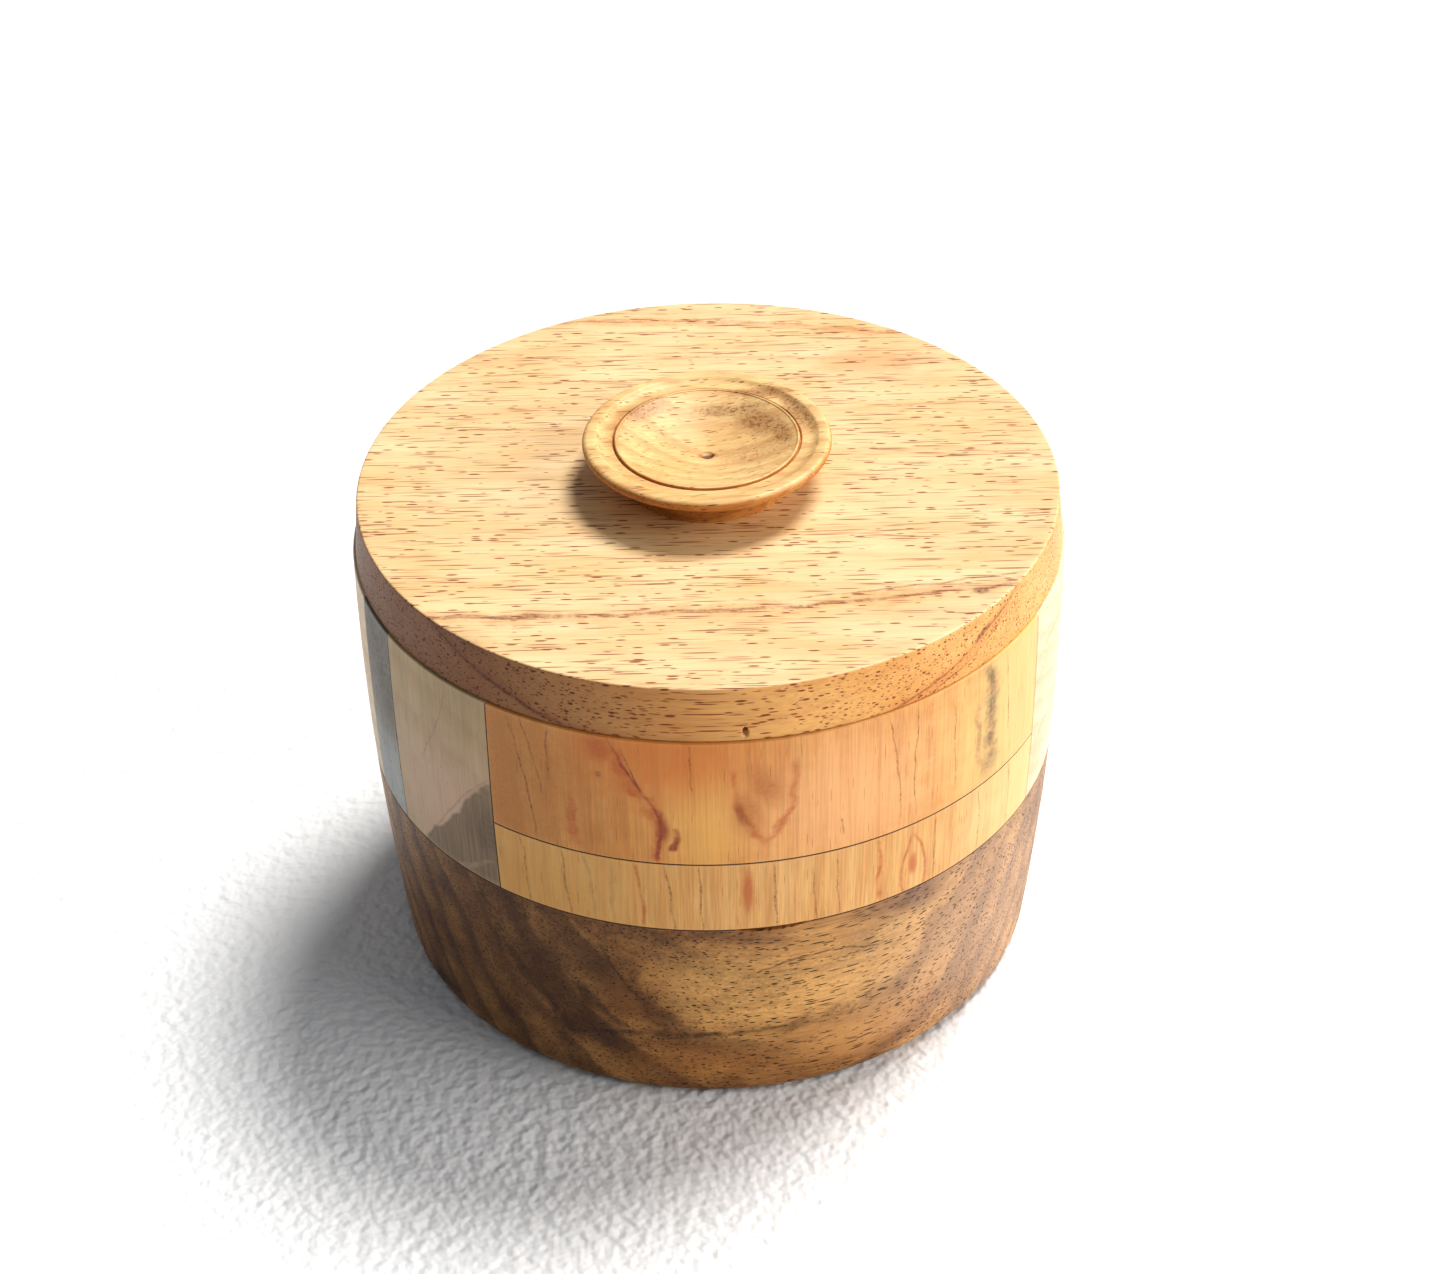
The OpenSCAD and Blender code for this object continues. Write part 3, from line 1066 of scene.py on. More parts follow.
UPPER_CHERRY = WoodFinish(
    name="cherry_upper",
    light=tint(222, 162, 94),
    deep=tint(196, 130, 62),
    ring_colour=tint(190, 112, 50),
    ring_strength=0.28,
    ring_slope=(1.0, 0.4, 0.07),
    ring_gap=5.4,
    ring_wander=6.0,
    grain=GrainAxis.UPRIGHT,
    fibre_length=20.0,
    fibre_pitch=0.36,
    fibre_strength=0.2,
    pore_colour=tint(150, 82, 40),
    pores=(PoreLayer(length=9.0, pitch=0.46, size=0.17, share=0.8, strength=0.5),),
    tones=(
        # Painted shade: the left end of the stave, turned from the lights, is darkened.
        Tone(tint(156, 100, 44), 0.7, (Blotch((-38, 68), (20, 22), 0.8),), speckle=0.2),
        # Painted sheen: the right end, nearest the side light, is lightened towards pale yellow.
        Tone(tint(224, 188, 122), 0.8, (Blotch((60, 68), (20, 24), 0.7),)),
        Tone(tint(240, 182, 132), 0.6, (Blotch((21, 66), (14, 14), 0.8),)),
        Tone(tint(198, 106, 34), 0.6, (Blotch((-6, 78), (12, 9), 0.8),)),
        Tone(tint(226, 172, 94), 0.7, (Blotch((-1, 62), (5, 8), 0.9),)),
        Tone(tint(174, 82, 36), 0.78, (
            Streak((-22, 68), (-21.5, 57), 0.1, 0.5, softness=1.2),
            Blotch((-17, 78), (1.8, 2.6), 0.8),
            Streak((-16, 80), (-8.0, 64), 0.2, 0.6, softness=2.0, bow=0.4),
            Streak((-8.0, 66), (-8.4, 56), 0.6, 0.2, softness=1.4),
            Streak((3.0, 75), (8.6, 59.5), 0.1, 0.2, softness=1.4, bow=-1.8),
            Streak((12.4, 76), (8.0, 59.5), 0.1, 0.15, softness=1.2, bow=1.6),
            Streak((143, 80), (149, 57), 0.2, 0.6, softness=1.6, bow=1.0),
            Streak((178, 80), (171, 57), 0.1, 0.4, softness=1.4, bow=-1.0),
            Streak((-152, 80), (-146, 57), 0.2, 0.3, softness=1.4, bow=1.0),
            Blotch((159, 68), (2.4, 5.0), 0.9),
            Blotch((-130, 70), (3.0, 6.0), 0.9),
        ), speckle=0.2),
        Tone(tint(136, 50, 26), 0.9, (
            Streak((-15.8, 80), (-7.6, 64.5), 0.04, 0.2, softness=0.5, bow=0.4),
            Streak((-7.6, 67), (-8.4, 56), 0.25, 0.1, softness=0.6),
            Streak((-5.6, 63.4), (-5.9, 58.6), 0.05, 0.5, softness=0.8, bow=0.3),
            Blotch((-7.4, 63.0), (0.9, 2.0), 0.9),
            Streak((3.8, 68.5), (5.0, 64.0), 0.1, 0.3, softness=0.9),
        )),
        Tone(tint(108, 58, 30), 0.85, (
            Streak((-32, 80), (-28, 57), 0.02, 0.1, softness=0.35, bow=0.6),
            Streak((-29.5, 80), (-26.6, 66), 0.02, softness=0.3, bow=0.3),
            Streak((-25, 80), (-25.4, 69), 0.04, softness=0.4),
            Streak((-13.4, 79), (-10.6, 70), 0.02, softness=0.3),
            Blotch((-17, 73), (0.45, 0.5), 0.5),
            Streak((-3.5, 80), (-3.0, 71), 0.02, softness=0.3),
            Streak((19.5, 62), (19.8, 58.5), 0.05, softness=0.3),
            Streak((39.5, 76), (40.2, 60), 0.02, softness=0.3),
            Streak((52.0, 80), (53.0, 62), 0.02, softness=0.3),
            *threads(
                80, 57,
                (27.4, 29.6, 0.02, 0.3, 0.8), (32.6, 32.4, 0.03, 0.3, -0.5), (112, 110, 0.03, 0.4, 0.8),
                (133, 136, 0.03, 0.35, -0.6), (166, 165, 0.03, 0.4, 0.5), (-171, -168, 0.03, 0.35, 0.8),
                (-139, -141, 0.03, 0.4, 0.6), (-124, -122, 0.03, 0.35, 0),
            ),
        ), speckle=0.5),
        Tone(tint(166, 98, 46), 0.75, (
            Blotch((8.0, 71.5), (2.2, 3.6), 0.9, lean=-0.3),
            Blotch((5.0, 66.4), (2.0, 3.6), 0.9),
        ), speckle=0.2),
        Tone(tint(132, 108, 72), 0.8, (
            Streak((47.2, 80), (48.6, 57), 0.9, 1.3, softness=1.8),
            Streak((44.6, 74), (45.2, 60), 0.1, 0.3, softness=0.9),
        ), speckle=0.3),
        Tone(tint(72, 60, 46), 0.7, (
            Streak((47.2, 80), (48.2, 60), 0.3, 0.4, softness=0.9, bow=0.3),
        ), speckle=0.3),
    ),
)

LOWER_CHERRY = replace(
    UPPER_CHERRY,
    name="cherry_lower",
    light=tint(224, 176, 116),
    deep=tint(206, 150, 84),
    ring_colour=tint(196, 124, 64),
    ring_slope=(1.0, 0.35, -0.04),
    ring_gap=4.4,
    ring_wander=5.0,
    pore_colour=tint(150, 88, 44),
    tones=(
        # Painted sheen: the right end, nearest the side light, is lightened towards pale yellow.
        Tone(tint(226, 192, 130), 0.75, (Blotch((60, 48), (14, 20), 0.7),)),
        # Painted shade: the left end, turned from the lights, is darkened and more saturated.
        Tone(tint(198, 150, 80), 0.7, (Blotch((-26, 48), (18, 16), 0.8),), speckle=0.2),
        Tone(tint(176, 84, 40), 0.78, (
            Streak((-12.2, 55), (-11.2, 41), 0.1, 0.05, softness=0.5, bow=0.4),
            Blotch((5, 49.5), (0.8, 3.6), 0.7),
            Streak((26, 55), (26.4, 42), 0.05, 0.25, softness=0.6),
            Blotch((32.4, 47), (0.7, 2.2), 0.6),
            Streak((30.4, 41), (32.4, 53.5), 0.1, softness=0.5, bow=-1.0),
            Streak((34.6, 41), (32.6, 53.5), 0.1, softness=0.5, bow=1.0),
        )),
        Tone(tint(106, 62, 34), 0.85, (
            Streak((15.2, 53), (15.6, 41), 0.02, softness=0.3),
            *threads(
                55, 41,
                (-31, -30, 0.02, 0.3, 0.3), (-24, -23, 0.04, 0.35, 0), (-7.6, -6.4, 0.06, 0.35, 0.3),
                (-2.4, -2.0, 0.02, 0.3, 0), (9, 9.4, 0.06, 0.35, -0.2), (19, 19.2, 0.02, 0.3, 0),
                (36.4, 36.8, 0.05, 0.3, 0), (46, 46.5, 0.02, 0.3, 0), (54, 54.4, 0.02, 0.3, 0),
                (118, 119, 0.04, 0.35, 0), (140, 139, 0.04, 0.35, 0), (163, 164, 0.05, 0.35, 0),
                (-170, -171, 0.04, 0.35, 0), (-144, -143, 0.05, 0.35, 0), (-126, -127, 0.04, 0.35, 0),
            ),
        ), speckle=0.5),
        Tone(tint(150, 124, 94), 0.5, (
            Streak((-20.4, 55), (-19, 41), 0.1, softness=0.5, bow=0.5),
            Streak((-16, 55), (-15.6, 41), 0.1, softness=0.6),
        ), speckle=0.3),
    ),
)

PALE_MAPLE = WoodFinish(
    name="maple",
    light=tint(184, 160, 124),
    deep=tint(166, 140, 104),
    ring_colour=tint(158, 124, 94),
    ring_strength=0.25,
    ring_slope=(0.8, 0.5, 0.5),
    ring_gap=4.6,
    ring_wander=4.0,
    grain=GrainAxis.UPRIGHT,
    fibre_length=12.0,
    fibre_pitch=0.45,
    fibre_strength=0.12,
    pore_colour=tint(138, 104, 76),
    pores=(PoreLayer(length=3.0, pitch=0.5, size=0.17, share=0.5, strength=0.4),),
    tones=(
        Tone(tint(196, 164, 142), 0.85, (Blotch((-46, 52), (12, 14), 0.8),)),
        Tone(tint(104, 86, 66), 0.85, (
            Streak((-36, 64), (-45, 40), 0.1, 9.0, softness=1.2),
        )),
        Tone(tint(84, 66, 50), 0.6, (Blotch((-37, 52), (4, 4), 0.8),), speckle=0.4),
        Tone(tint(168, 142, 112), 0.7, (
            Streak((-37, 46.5), (-44.5, 41), 0.2, 0.6, softness=0.9),
        )),
        Tone(tint(100, 78, 58), 0.5, (
            Streak((-36.5, 64.5), (-53.5, 40), 0.02, 0.1, softness=0.4, bow=-1.2),
            Streak((-44, 79), (-52, 60), 0.02, softness=0.3, bow=0.6),
        ), speckle=0.5),
    ),
    roughness=0.5,
)

GREY_MAPLE = WoodFinish(
    name="grey_maple",
    light=tint(168, 160, 148),
    deep=tint(124, 114, 102),
    ring_colour=tint(88, 80, 72),
    ring_strength=0.25,
    ring_slope=(0.7, 0.7, 0.2),
    ring_gap=5.0,
    ring_wander=5.0,
    grain=GrainAxis.UPRIGHT,
    fibre_length=7.0,
    fibre_pitch=0.55,
    fibre_strength=0.3,
    pore_colour=tint(72, 62, 54),
    pores=(
        PoreLayer(length=3.0, pitch=0.6, size=0.24, share=0.7, strength=0.6),
        PoreLayer(length=2.0, pitch=0.9, size=0.28, share=0.4, strength=0.5, shift=2.2),
    ),
    tones=(
        Tone(tint(78, 72, 66), 0.85, (Blotch((-64, 74), (12, 12), 0.8),), speckle=0.45),
        # Painted reflection: a pale blue-grey patch of sky light glancing off the left side.
        Tone(tint(170, 178, 180), 0.6, (Blotch((-66, 47), (9, 9), 0.8),)),
    ),
    grey_mottle=0.35,
    roughness=0.5,
)

PALE_ASH = WoodFinish(
    name="pale_ash",
    light=tint(228, 206, 176),
    deep=tint(214, 184, 148),
    ring_colour=tint(198, 160, 112),
    ring_strength=0.3,
    ring_slope=(0.3, 0.3, 1.0),
    ring_gap=5.0,
    ring_wander=4.0,
    grain=GrainAxis.SIDEWAYS,
    grain_turn=85.0,
    fibre_length=16.0,
    fibre_pitch=0.45,
    fibre_strength=0.12,
    pore_colour=tint(176, 130, 84),
    pores=(PoreLayer(length=8.0, pitch=0.6, size=0.2, share=0.7, strength=0.6),),
    tones=(
        Tone(tint(220, 168, 130), 0.5, (Blotch((65, 49), (4, 5), 0.8),)),
        Tone(tint(182, 130, 84), 0.5, (
            across((64, 72), (98, 66), 0.05, 0.2, softness=0.6, bow=1.2),
            across((62, 53), (99, 58), 0.05, 0.1, softness=0.5),
            across((-117, 60), (-72, 66), 0.05, 0.2, softness=0.6, bow=-1.4),
            across((-117, 48), (-72, 50), 0.05, 0.1, softness=0.5),
        ), speckle=0.5),
    ),
    roughness=0.48,
)

WALNUT = WoodFinish(
    name="walnut",
    light=tint(208, 152, 88),
    deep=tint(108, 64, 32),
    ring_colour=tint(76, 42, 24),
    ring_strength=0.6,
    ring_slope=(0.538, -3.053, 1.0),
    ring_shift=-177.6,
    ring_gap=21.2,
    ring_wander=26.0,
    grain=GrainAxis.SIDEWAYS,
    grain_turn=20.0,
    fibre_length=9.0,
    fibre_pitch=0.6,
    fibre_strength=0.35,
    pore_colour=tint(34, 15, 8),
    pores=(
        PoreLayer(length=6.0, pitch=0.52, size=0.27, share=1.0, strength=0.95),
        PoreLayer(length=8.0, pitch=0.7, size=0.22, share=0.9, strength=0.85, shift=5.7),
        PoreLayer(length=1.6, pitch=0.6, size=0.26, share=0.8, strength=0.7, shift=9.2),
    ),
    tones=(
        # Golden patches: partly the walnut's own figure, partly painted chatoyant sheen.
        Tone(tint(222, 172, 104), 0.8, (
            Blotch((20, 24), (18, 11), 0.9),
            Blotch((2, 27), (11, 8), 0.9),
            Blotch((22, 11), (10, 4), 0.9),
            Blotch((6, 20.5), (12, 2.6), 0.8),
            Blotch((30, 33), (8, 4), 0.8, lean=1.2),
        ), speckle=0.25),
        Tone(tint(176, 116, 58), 0.6, (
            Blotch((-2, 8), (14, 4.5), 0.9),
            Blotch((-14, 25), (4, 8), 0.9),
            Blotch((24, 10), (14, 6), 0.9),
        ), speckle=0.3),
        Tone(tint(80, 42, 22), 0.85, (
            across((-44, 40.5), (-2, 41.0), 1.6, 0.4, softness=4.0),
            across((10, 16.5), (36, 21), 0.6, 0.3, softness=2.6, bow=-0.8),
            Streak((-34, 38), (-20, 10), 0.6, 2.2, softness=4.0, bow=-3.0),
            Streak((-14, 33), (-8, 18), 0.2, 0.8, softness=3.0, bow=-2.0),
            Blotch((35, 38), (3.5, 3), 0.8),
            Streak((38, 34), (30, 16), 0.4, 0.9, softness=2.5, bow=2.0),
            Streak((52, 36), (42, 12), 0.4, 1.2, softness=3.0, bow=2.0),
        ), speckle=0.35),
        Tone(tint(40, 21, 12), 0.85, (
            Streak((-41, 40), (-24, 10), 0.3, 1.0, softness=2.4, bow=-1.5),
            Streak((-33, 39), (-15, 15), 0.2, 0.8, softness=2.2, bow=-2.0),
            across((-28, 9.5), (-22, 13), 0.1, softness=0.7),
            across((-22, 13), (-12, 15.5), 0.1, 0.4, softness=0.8),
            across((-12, 15.5), (12, 17), 0.4, 0.1, softness=0.9, bow=-0.3),
            across((5, 29.5), (27, 30.5), 0.02, 0.06, softness=0.5, bow=3.0),
            Streak((-18, 36), (-13, 24), 0.05, 0.1, softness=0.6, bow=-1.0),
        ), speckle=0.25),
        # Painted shade: a black hairline inside the chipped gap between the bowl and the ring.
        Tone(tint(14, 8, 5), 0.95, (
            across((4.5, 40.85), (13.5, 40.85), 0.12, 0.3, softness=0.2),
        )),
        # Painted sheen: a pale greyish patch where the right-hand light glances off the bowl.
        Tone(tint(186, 152, 124), 0.6, (Blotch((50, 26), (20, 24), 0.8),)),
        # Painted shade: the left side, turned from the lights, is darkened, with some dark figure streaks in
        # the same colour.
        Tone(tint(58, 34, 20), 0.8, (
            Blotch((-46, 28), (24, 26), 0.8),
            Blotch((-24, 31), (10, 10), 0.8, lean=-0.6),
            Blotch((-20, 14), (5, 5), 0.8, lean=-0.6),
            Streak((-50, 38), (-36, 10), 0.6, 1.6, softness=3.0, bow=-2.0),
        ), speckle=0.25),
        Tone(tint(128, 84, 48), 0.7, (
            Streak((-44, 39), (-30, 14), 0.3, 0.8, softness=2.0, bow=-2.5),
            Streak((-54, 36), (-42, 12), 0.2, 0.6, softness=1.8, bow=-2.0),
        ), speckle=0.3),
    ),
    roughness=0.46,
    bump=0.5,
)


# ---------------------------------------------------------------------------------------------
# The sub-assemblies


@dataclass
class WoodenBody:
    """The walnut bowl and the ring of glued blocks on it, which ride together as the box."""

    curve: SideCurve = SideCurve(0.06175, 0.0644, 0.570)
    bore_radius: float = 0.0525
    floor_height: float = 0.010
    floor_cove: float = 0.0025
    foot_edge: float = 0.0025
    foot_ring: float = 0.0075
    foot_relief: float = 0.0015
    chuck_radius: float = 0.0275
    chuck_depth: float = 0.0035
    rim_ease: float = 0.0006
    seam_ease: float = 0.00018
    joint_ease: float = 0.00014
    glue_depth: float = 0.00006
    joints: tuple[float, ...] = (-118.0, -71.0, -60.0, -36.0, 62.0, 100.0)
    gap_azimuth: float = 9.0
    gap_half: float = 6.0
    gap_reach: float = 0.0008
    gap_depth: float = 0.00085
    lathe: Lathe = field(default_factory=Lathe)

    def build(self) -> None:
        """Makes and dresses every piece of the body."""
        foot, base_top = (corner.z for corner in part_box("base_bowl"))
        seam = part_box("front_lower_stave")[1].z
        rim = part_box("front_upper_stave")[1].z
        self.bowl(foot, base_top)
        rear, rear_left, grey, maple, right, right_rear = self.joints
        blocks = (
            ("front_upper_stave", maple, right, seam, rim, UPPER_CHERRY, "cherry"),
            ("front_lower_stave", maple, right, base_top, seam, LOWER_CHERRY, "cherry"),
            ("left_maple_block", grey, maple, base_top, rim, PALE_MAPLE, "maple"),
            ("left_grey_block", rear_left, grey, base_top, rim, GREY_MAPLE, "grey_maple"),
            ("left_rear_block", rear, rear_left, base_top, rim, PALE_ASH, "pale_ash"),
            ("rear_upper_stave", right_rear, rear + 360, seam, rim, UPPER_CHERRY, "cherry"),
            ("rear_lower_stave", right_rear, rear + 360, base_top, seam, LOWER_CHERRY, "cherry"),
            ("right_block", right, right_rear, base_top, rim, PALE_ASH, "pale_ash"),
        )
        finished: dict[str, Material] = {}
        for node, start, end, low, high, wood, slot in blocks:
            piece = self.block(node, start, end, low, high, high == rim)
            if wood.name not in finished:
                finished[wood.name] = wood.material()
            place_piece(piece, finished[wood.name], "box", [node])
        self.glue(base_top, seam, rim)

    def bowl(self, foot: float, top: float) -> None:
        """Turns the walnut bowl.

        Args:
            foot: Height of the surface it stands on.
            top: Height of its rim, where the ring of blocks starts.
        """
        edge, crisp, bore = self.foot_edge, 0.0003, self.bore_radius
        recess, relief, floor = foot + self.chuck_depth, foot + self.foot_relief, self.floor_height
        foot_side = self.curve.radius(foot + edge)
        relief_radius = foot_side - edge - self.foot_ring
        chuck = self.chuck_radius
        rim = self.curve.radius(top) - self.seam_ease
        outline = [
            (0.0, recess),
            *blend_points((0.01, recess), (chuck - crisp, recess), 3),
            (chuck, recess - crisp),
            (chuck, relief + crisp),
            (chuck + crisp, relief),
            *blend_points((chuck + 0.004, relief), (relief_radius - crisp, relief), 4),
            (relief_radius, relief - crisp),
            (relief_radius, foot + 0.0004),
            (relief_radius + 0.0004, foot),
            *arc((foot_side - edge, foot + edge), edge, -90, 0, 10),
            *self.curve.points(foot + edge + 0.0005, top - 0.002, 24),
            *self.curve.points(top - 0.0018, top - self.seam_ease, 8),
            *((rim - inwards, top) for inwards in (0.0, 0.0004, 0.0014)),
            (bore, top),
            *arc((bore - self.floor_cove, floor + self.floor_cove), self.floor_cove, 0, -90, 10),
            *blend_points((bore - 0.006, floor), (0.008, floor), 4),
            (0.0, floor),
        ]

        def shaping(azimuth: float, radius: float, height: float) -> Point:
            """Opens the joint a little where the rim of the bowl has chipped."""
            turn = signed(azimuth)
            near = bell((turn - self.gap_azimuth) / self.gap_half)
            reach = self.gap_reach
            if near > 0.0 and height > top - reach and radius > self.curve.radius(top) - reach:
                ragged = 0.8 + 0.5 * noise.noise(Vector((turn * 1.4, 0.0, 0.0)))
                below = max(0.0, 1.0 - (top - height) / reach)
                return radius, height - self.gap_depth * near**0.5 * ragged * below
            return radius, height

        sweep = Sweep(0.0, 360.0, 1.0, fine_from=2.0, fine_to=16.0, fine_step=0.25)
        piece = self.lathe.turn("bowl_turned", outline, sweep, shaping)
        place_piece(piece, WALNUT.material(), "box", ["base_bowl"])

    def block(
        self, node: str, start: float, end: float, low: float, high: float, at_rim: bool
    ) -> Piece:
        """Makes one block of the ring, with its arrises eased.

        Args:
            node: The CAD node it stands for, which names the piece.
            start: Azimuth of its first joint.
            end: Azimuth of its last joint.
            low: Height of its lower face.
            high: Height of its upper face.
            at_rim: Whether its upper face is the box's rim.

        Returns:
            The block.
        """
        ease, inner = self.seam_ease, self.bore_radius
        outline = [
            (self.curve.radius(low) - ease, low),
            *self.curve.points(low + ease, high - ease, 20),
            (self.curve.radius(high) - ease, high),
        ]
        corner = [(self.rim_ease, 0.0), (0.0002, 0.0003), (0.0, self.rim_ease)] if at_rim else [(0.0, 0.0)]
        outline += [(inner + outwards, high - fall) for outwards, fall in corner]
        outline.append((inner, low))

        def shaping(azimuth: float, radius: float, height: float) -> Point:
            """Eases the outer arrises of the two joints."""
            at_joint = azimuth in (start, end) and radius > inner + 0.002
            return radius - self.joint_ease * at_joint, height

        margin = math.degrees(self.joint_ease / inner)
        return self.lathe.turn(f"{node}_wood", outline, Sweep(start, end, 1.0, joint_margin=margin), shaping)

    def glue(self, base_top: float, seam: float, rim: float) -> None:
        """Lays the dark hairlines of glue just below the eased joints.

        Args:
            base_top: Height of the joint between the bowl and the ring.
            seam: Height of the joint between the upper and the lower staves.
            rim: Height of the box's rim.
        """
        bm = bmesh.new()
        rear, maple, right, right_rear = self.joints[0], self.joints[3], self.joints[4], self.joints[5]
        half = self.seam_ease * 0.8
        gap_start, gap_end = self.gap_azimuth - self.gap_half, self.gap_azimuth + self.gap_half
        for height, start, end in (
            (base_top, gap_end, 360.0 + gap_start), (seam, maple, right), (seam, right_rear, rear + 360)
        ):
            outer = self.curve.radius(height) - self.glue_depth
            outline = [
                (outer - 0.0005, height - half), (outer, height - half),
                (outer, height + half), (outer - 0.0005, height + half),
            ]
            self.lathe.add(bm, outline, Sweep(start, end, 1.0))
        width = math.degrees(self.joint_ease * 0.7 / self.bore_radius)
        for azimuth in self.joints:
            levels = [base_top + (rim - base_top) * i / 20 for i in range(21)]
            front = [(self.curve.radius(z) - self.glue_depth, z) for z in levels[:-1]]
            front.append((self.curve.radius(rim) - self.glue_depth, rim - 0.0003))
            back = [(r - 0.0005, z) for r, z in reversed(front)]
            sweep = Sweep(azimuth - width, azimuth + width, width, joint_margin=width)
            self.lathe.add(bm, front + back, sweep)
        piece = self.lathe.finish("glue_lines", bm)
        place_piece(piece, GlueFinish().material(), "box", [])


@dataclass
class Lid:
    """The lid disc with its locating ring, and the dished knob tenoned into it."""

    lower_radius: float = 0.06107
    taper: float = 0.0009
    edge: float = 0.0004
    ease: float = 0.00012
    ring_radius: float = 0.05215
    ring_width: float = 0.008
    ring_lead: float = 0.0008
    film: float = 0.00005
    knob_radius: float = 0.02125
    knob_lip: float = 0.0019
    dish_depth: float = 0.0046
    tenon_radius: float = 0.006
    hole_azimuth: float = 5.0
    hole_height: float = 0.0015
    hole_half_azimuth: float = 0.62
    hole_half_height: float = 0.0011
    hole_depth: float = 0.0016
    lathe: Lathe = field(default_factory=Lathe)

    def build(self) -> None:
        """Makes and dresses the disc, the ring and the knob."""
        bottom, top = (corner.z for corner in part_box("lid_disc"))
        ring_bottom, ring_top = (corner.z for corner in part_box("lid_locating_ring"))
        tenon, knob_top = (corner.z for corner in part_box("lid_knob"))
        wood = LID_WOOD.material()
        disc = self.disc(bottom, top, ring_top, tenon)
        place_piece(disc, wood, "lid", ["lid_disc"])
        ring = self.ring(ring_bottom, ring_top)
        place_piece(ring, wood, "lid", ["lid_locating_ring"])
        knob = self.knob(tenon, top, knob_top)
        place_piece(knob, KNOB_WOOD.material(), "lid", ["lid_knob"])

    def disc(self, bottom: float, top: float, ring_top: float, tenon: float) -> Piece:
        """Turns the lid's disc, with its small worm hole in the front edge.

        Args:
            bottom: Height of its underside.
            top: Height of its upper face.
            ring_top: Height of the seat that the locating ring is glued into.
            tenon: Height of the knob tenon's lower end.

        Returns:
            The disc.
        """
        inner = self.ring_radius - self.ring_width - self.film
        outer = self.ring_radius + self.film
        edge_centre = (self.lower_radius - self.taper - self.edge, top - self.edge)
        mortise = self.tenon_radius + self.film
        outline = [
            (0.0, bottom),
            *blend_points((0.008, bottom), (inner, bottom), 5),
            (inner, ring_top),
            (outer, ring_top),
            (outer, bottom),
            (self.lower_radius - self.ease, bottom),
            *blend_points(
                (self.lower_radius, bottom + self.ease),
                (edge_centre[0] + self.edge, edge_centre[1] - 0.0001), 60,
            ),
            *arc(edge_centre, self.edge, 0, 90, 6),
            *blend_points((edge_centre[0] - 0.001, top), (mortise + 0.002, top), 12),
            (mortise, top),
            (mortise, tenon - 0.0003),
            (0.0, tenon - 0.0003),
        ]

        def shaping(azimuth: float, radius: float, height: float) -> Point:
            """Sinks the worm hole."""
            if radius < edge_centre[0]:
                return radius, height
            sideways = (signed(azimuth) - self.hole_azimuth) / self.hole_half_azimuth
            up = (height - bottom - self.hole_height) / self.hole_half_height
            return radius - self.hole_depth * bell(math.hypot(sideways, up)), height

        sweep = Sweep(0.0, 360.0, 1.0, fine_from=3.6, fine_to=6.4, fine_step=0.1)
        return self.lathe.turn("lid_turned", outline, sweep, shaping)

    def ring(self, bottom: float, top: float) -> Piece:
        """Turns the ring under the lid that finds the bore.

        Args:
            bottom: Height of its lower face.
            top: Height of its upper face.

        Returns:
            The ring.
        """
        inner, ease = self.ring_radius - self.ring_width, 0.0004
        outline = [
            (inner, top),
            (inner, bottom + ease),
            (inner + ease, bottom),
            (self.ring_radius - self.ring_lead, bottom),
            (self.ring_radius - 0.0002, bottom + 0.0005),
            (self.ring_radius, bottom + self.ring_lead),
            (self.ring_radius, top),
        ]
        return self.lathe.turn("lid_ring_turned", outline, Sweep(step=1.5))

    def knob(self, tenon: float, seat: float, top: float) -> Piece:
        """Turns the knob: a hollow cove under a flat lip, and a dish with a bead and a centre dimple.

        Args:
            tenon: Height of its tenon's lower end.
            seat: Height of the lid's upper face.
            top: Height of its lip.

        Returns:
            The knob.
        """
        lip = self.knob_lip / 2
        cove = top - seat - self.knob_lip
        foot = self.knob_radius - cove - lip / 2
        lip_flat = self.knob_radius - 0.0021
        groove = self.knob_radius - 0.0053
        bead = groove - 0.0005
        under = [
            (0.0, tenon),
            (self.tenon_radius - 0.0006, tenon),
            (self.tenon_radius, tenon + 0.0006),
            (self.tenon_radius, seat),
            *arc((foot + cove, seat), cove, 180, 92, 18),
        ]
        rim = arc((self.knob_radius - lip, top - lip), lip, -60, 90, 14)
        falls = ((0.0, 0.0), (0.12, 0.04), (0.3, 0.15), (0.6, 0.34), (0.9, 0.5), (1.3, 0.63), (1.7, 0.7))
        cut = ((0.7, 0.71), (0.3, 0.72), (0.2, 0.8), (0.0, 1.15), (-0.12, 1.0))
        slope = [(lip_flat - inwards * MM, top - fall * MM) for inwards, fall in falls]
        slope += [(groove + outwards * MM, top - fall * MM) for outwards, fall in cut]
        crown = arc((bead + 0.0001, top - 0.00072), 0.00027, 20, 160, 8)
        dish = []
        for radius, level in blend_points((bead - 0.0005, 0.0), (0.0012, 1.0), 20):
            fall = 0.5 * level + 0.5 * math.sin(math.radians(90 * level))
            dish.append((radius, top - 0.00075 - (self.dish_depth - 0.00115) * fall))
        bottom = top - self.dish_depth
        dimple = [(0.0009, bottom + 0.0001), (0.0005, bottom), (0.0, bottom)]
        return self.lathe.turn("knob_turned", under + rim + slope + crown + dish + dimple, Sweep(step=1.0))


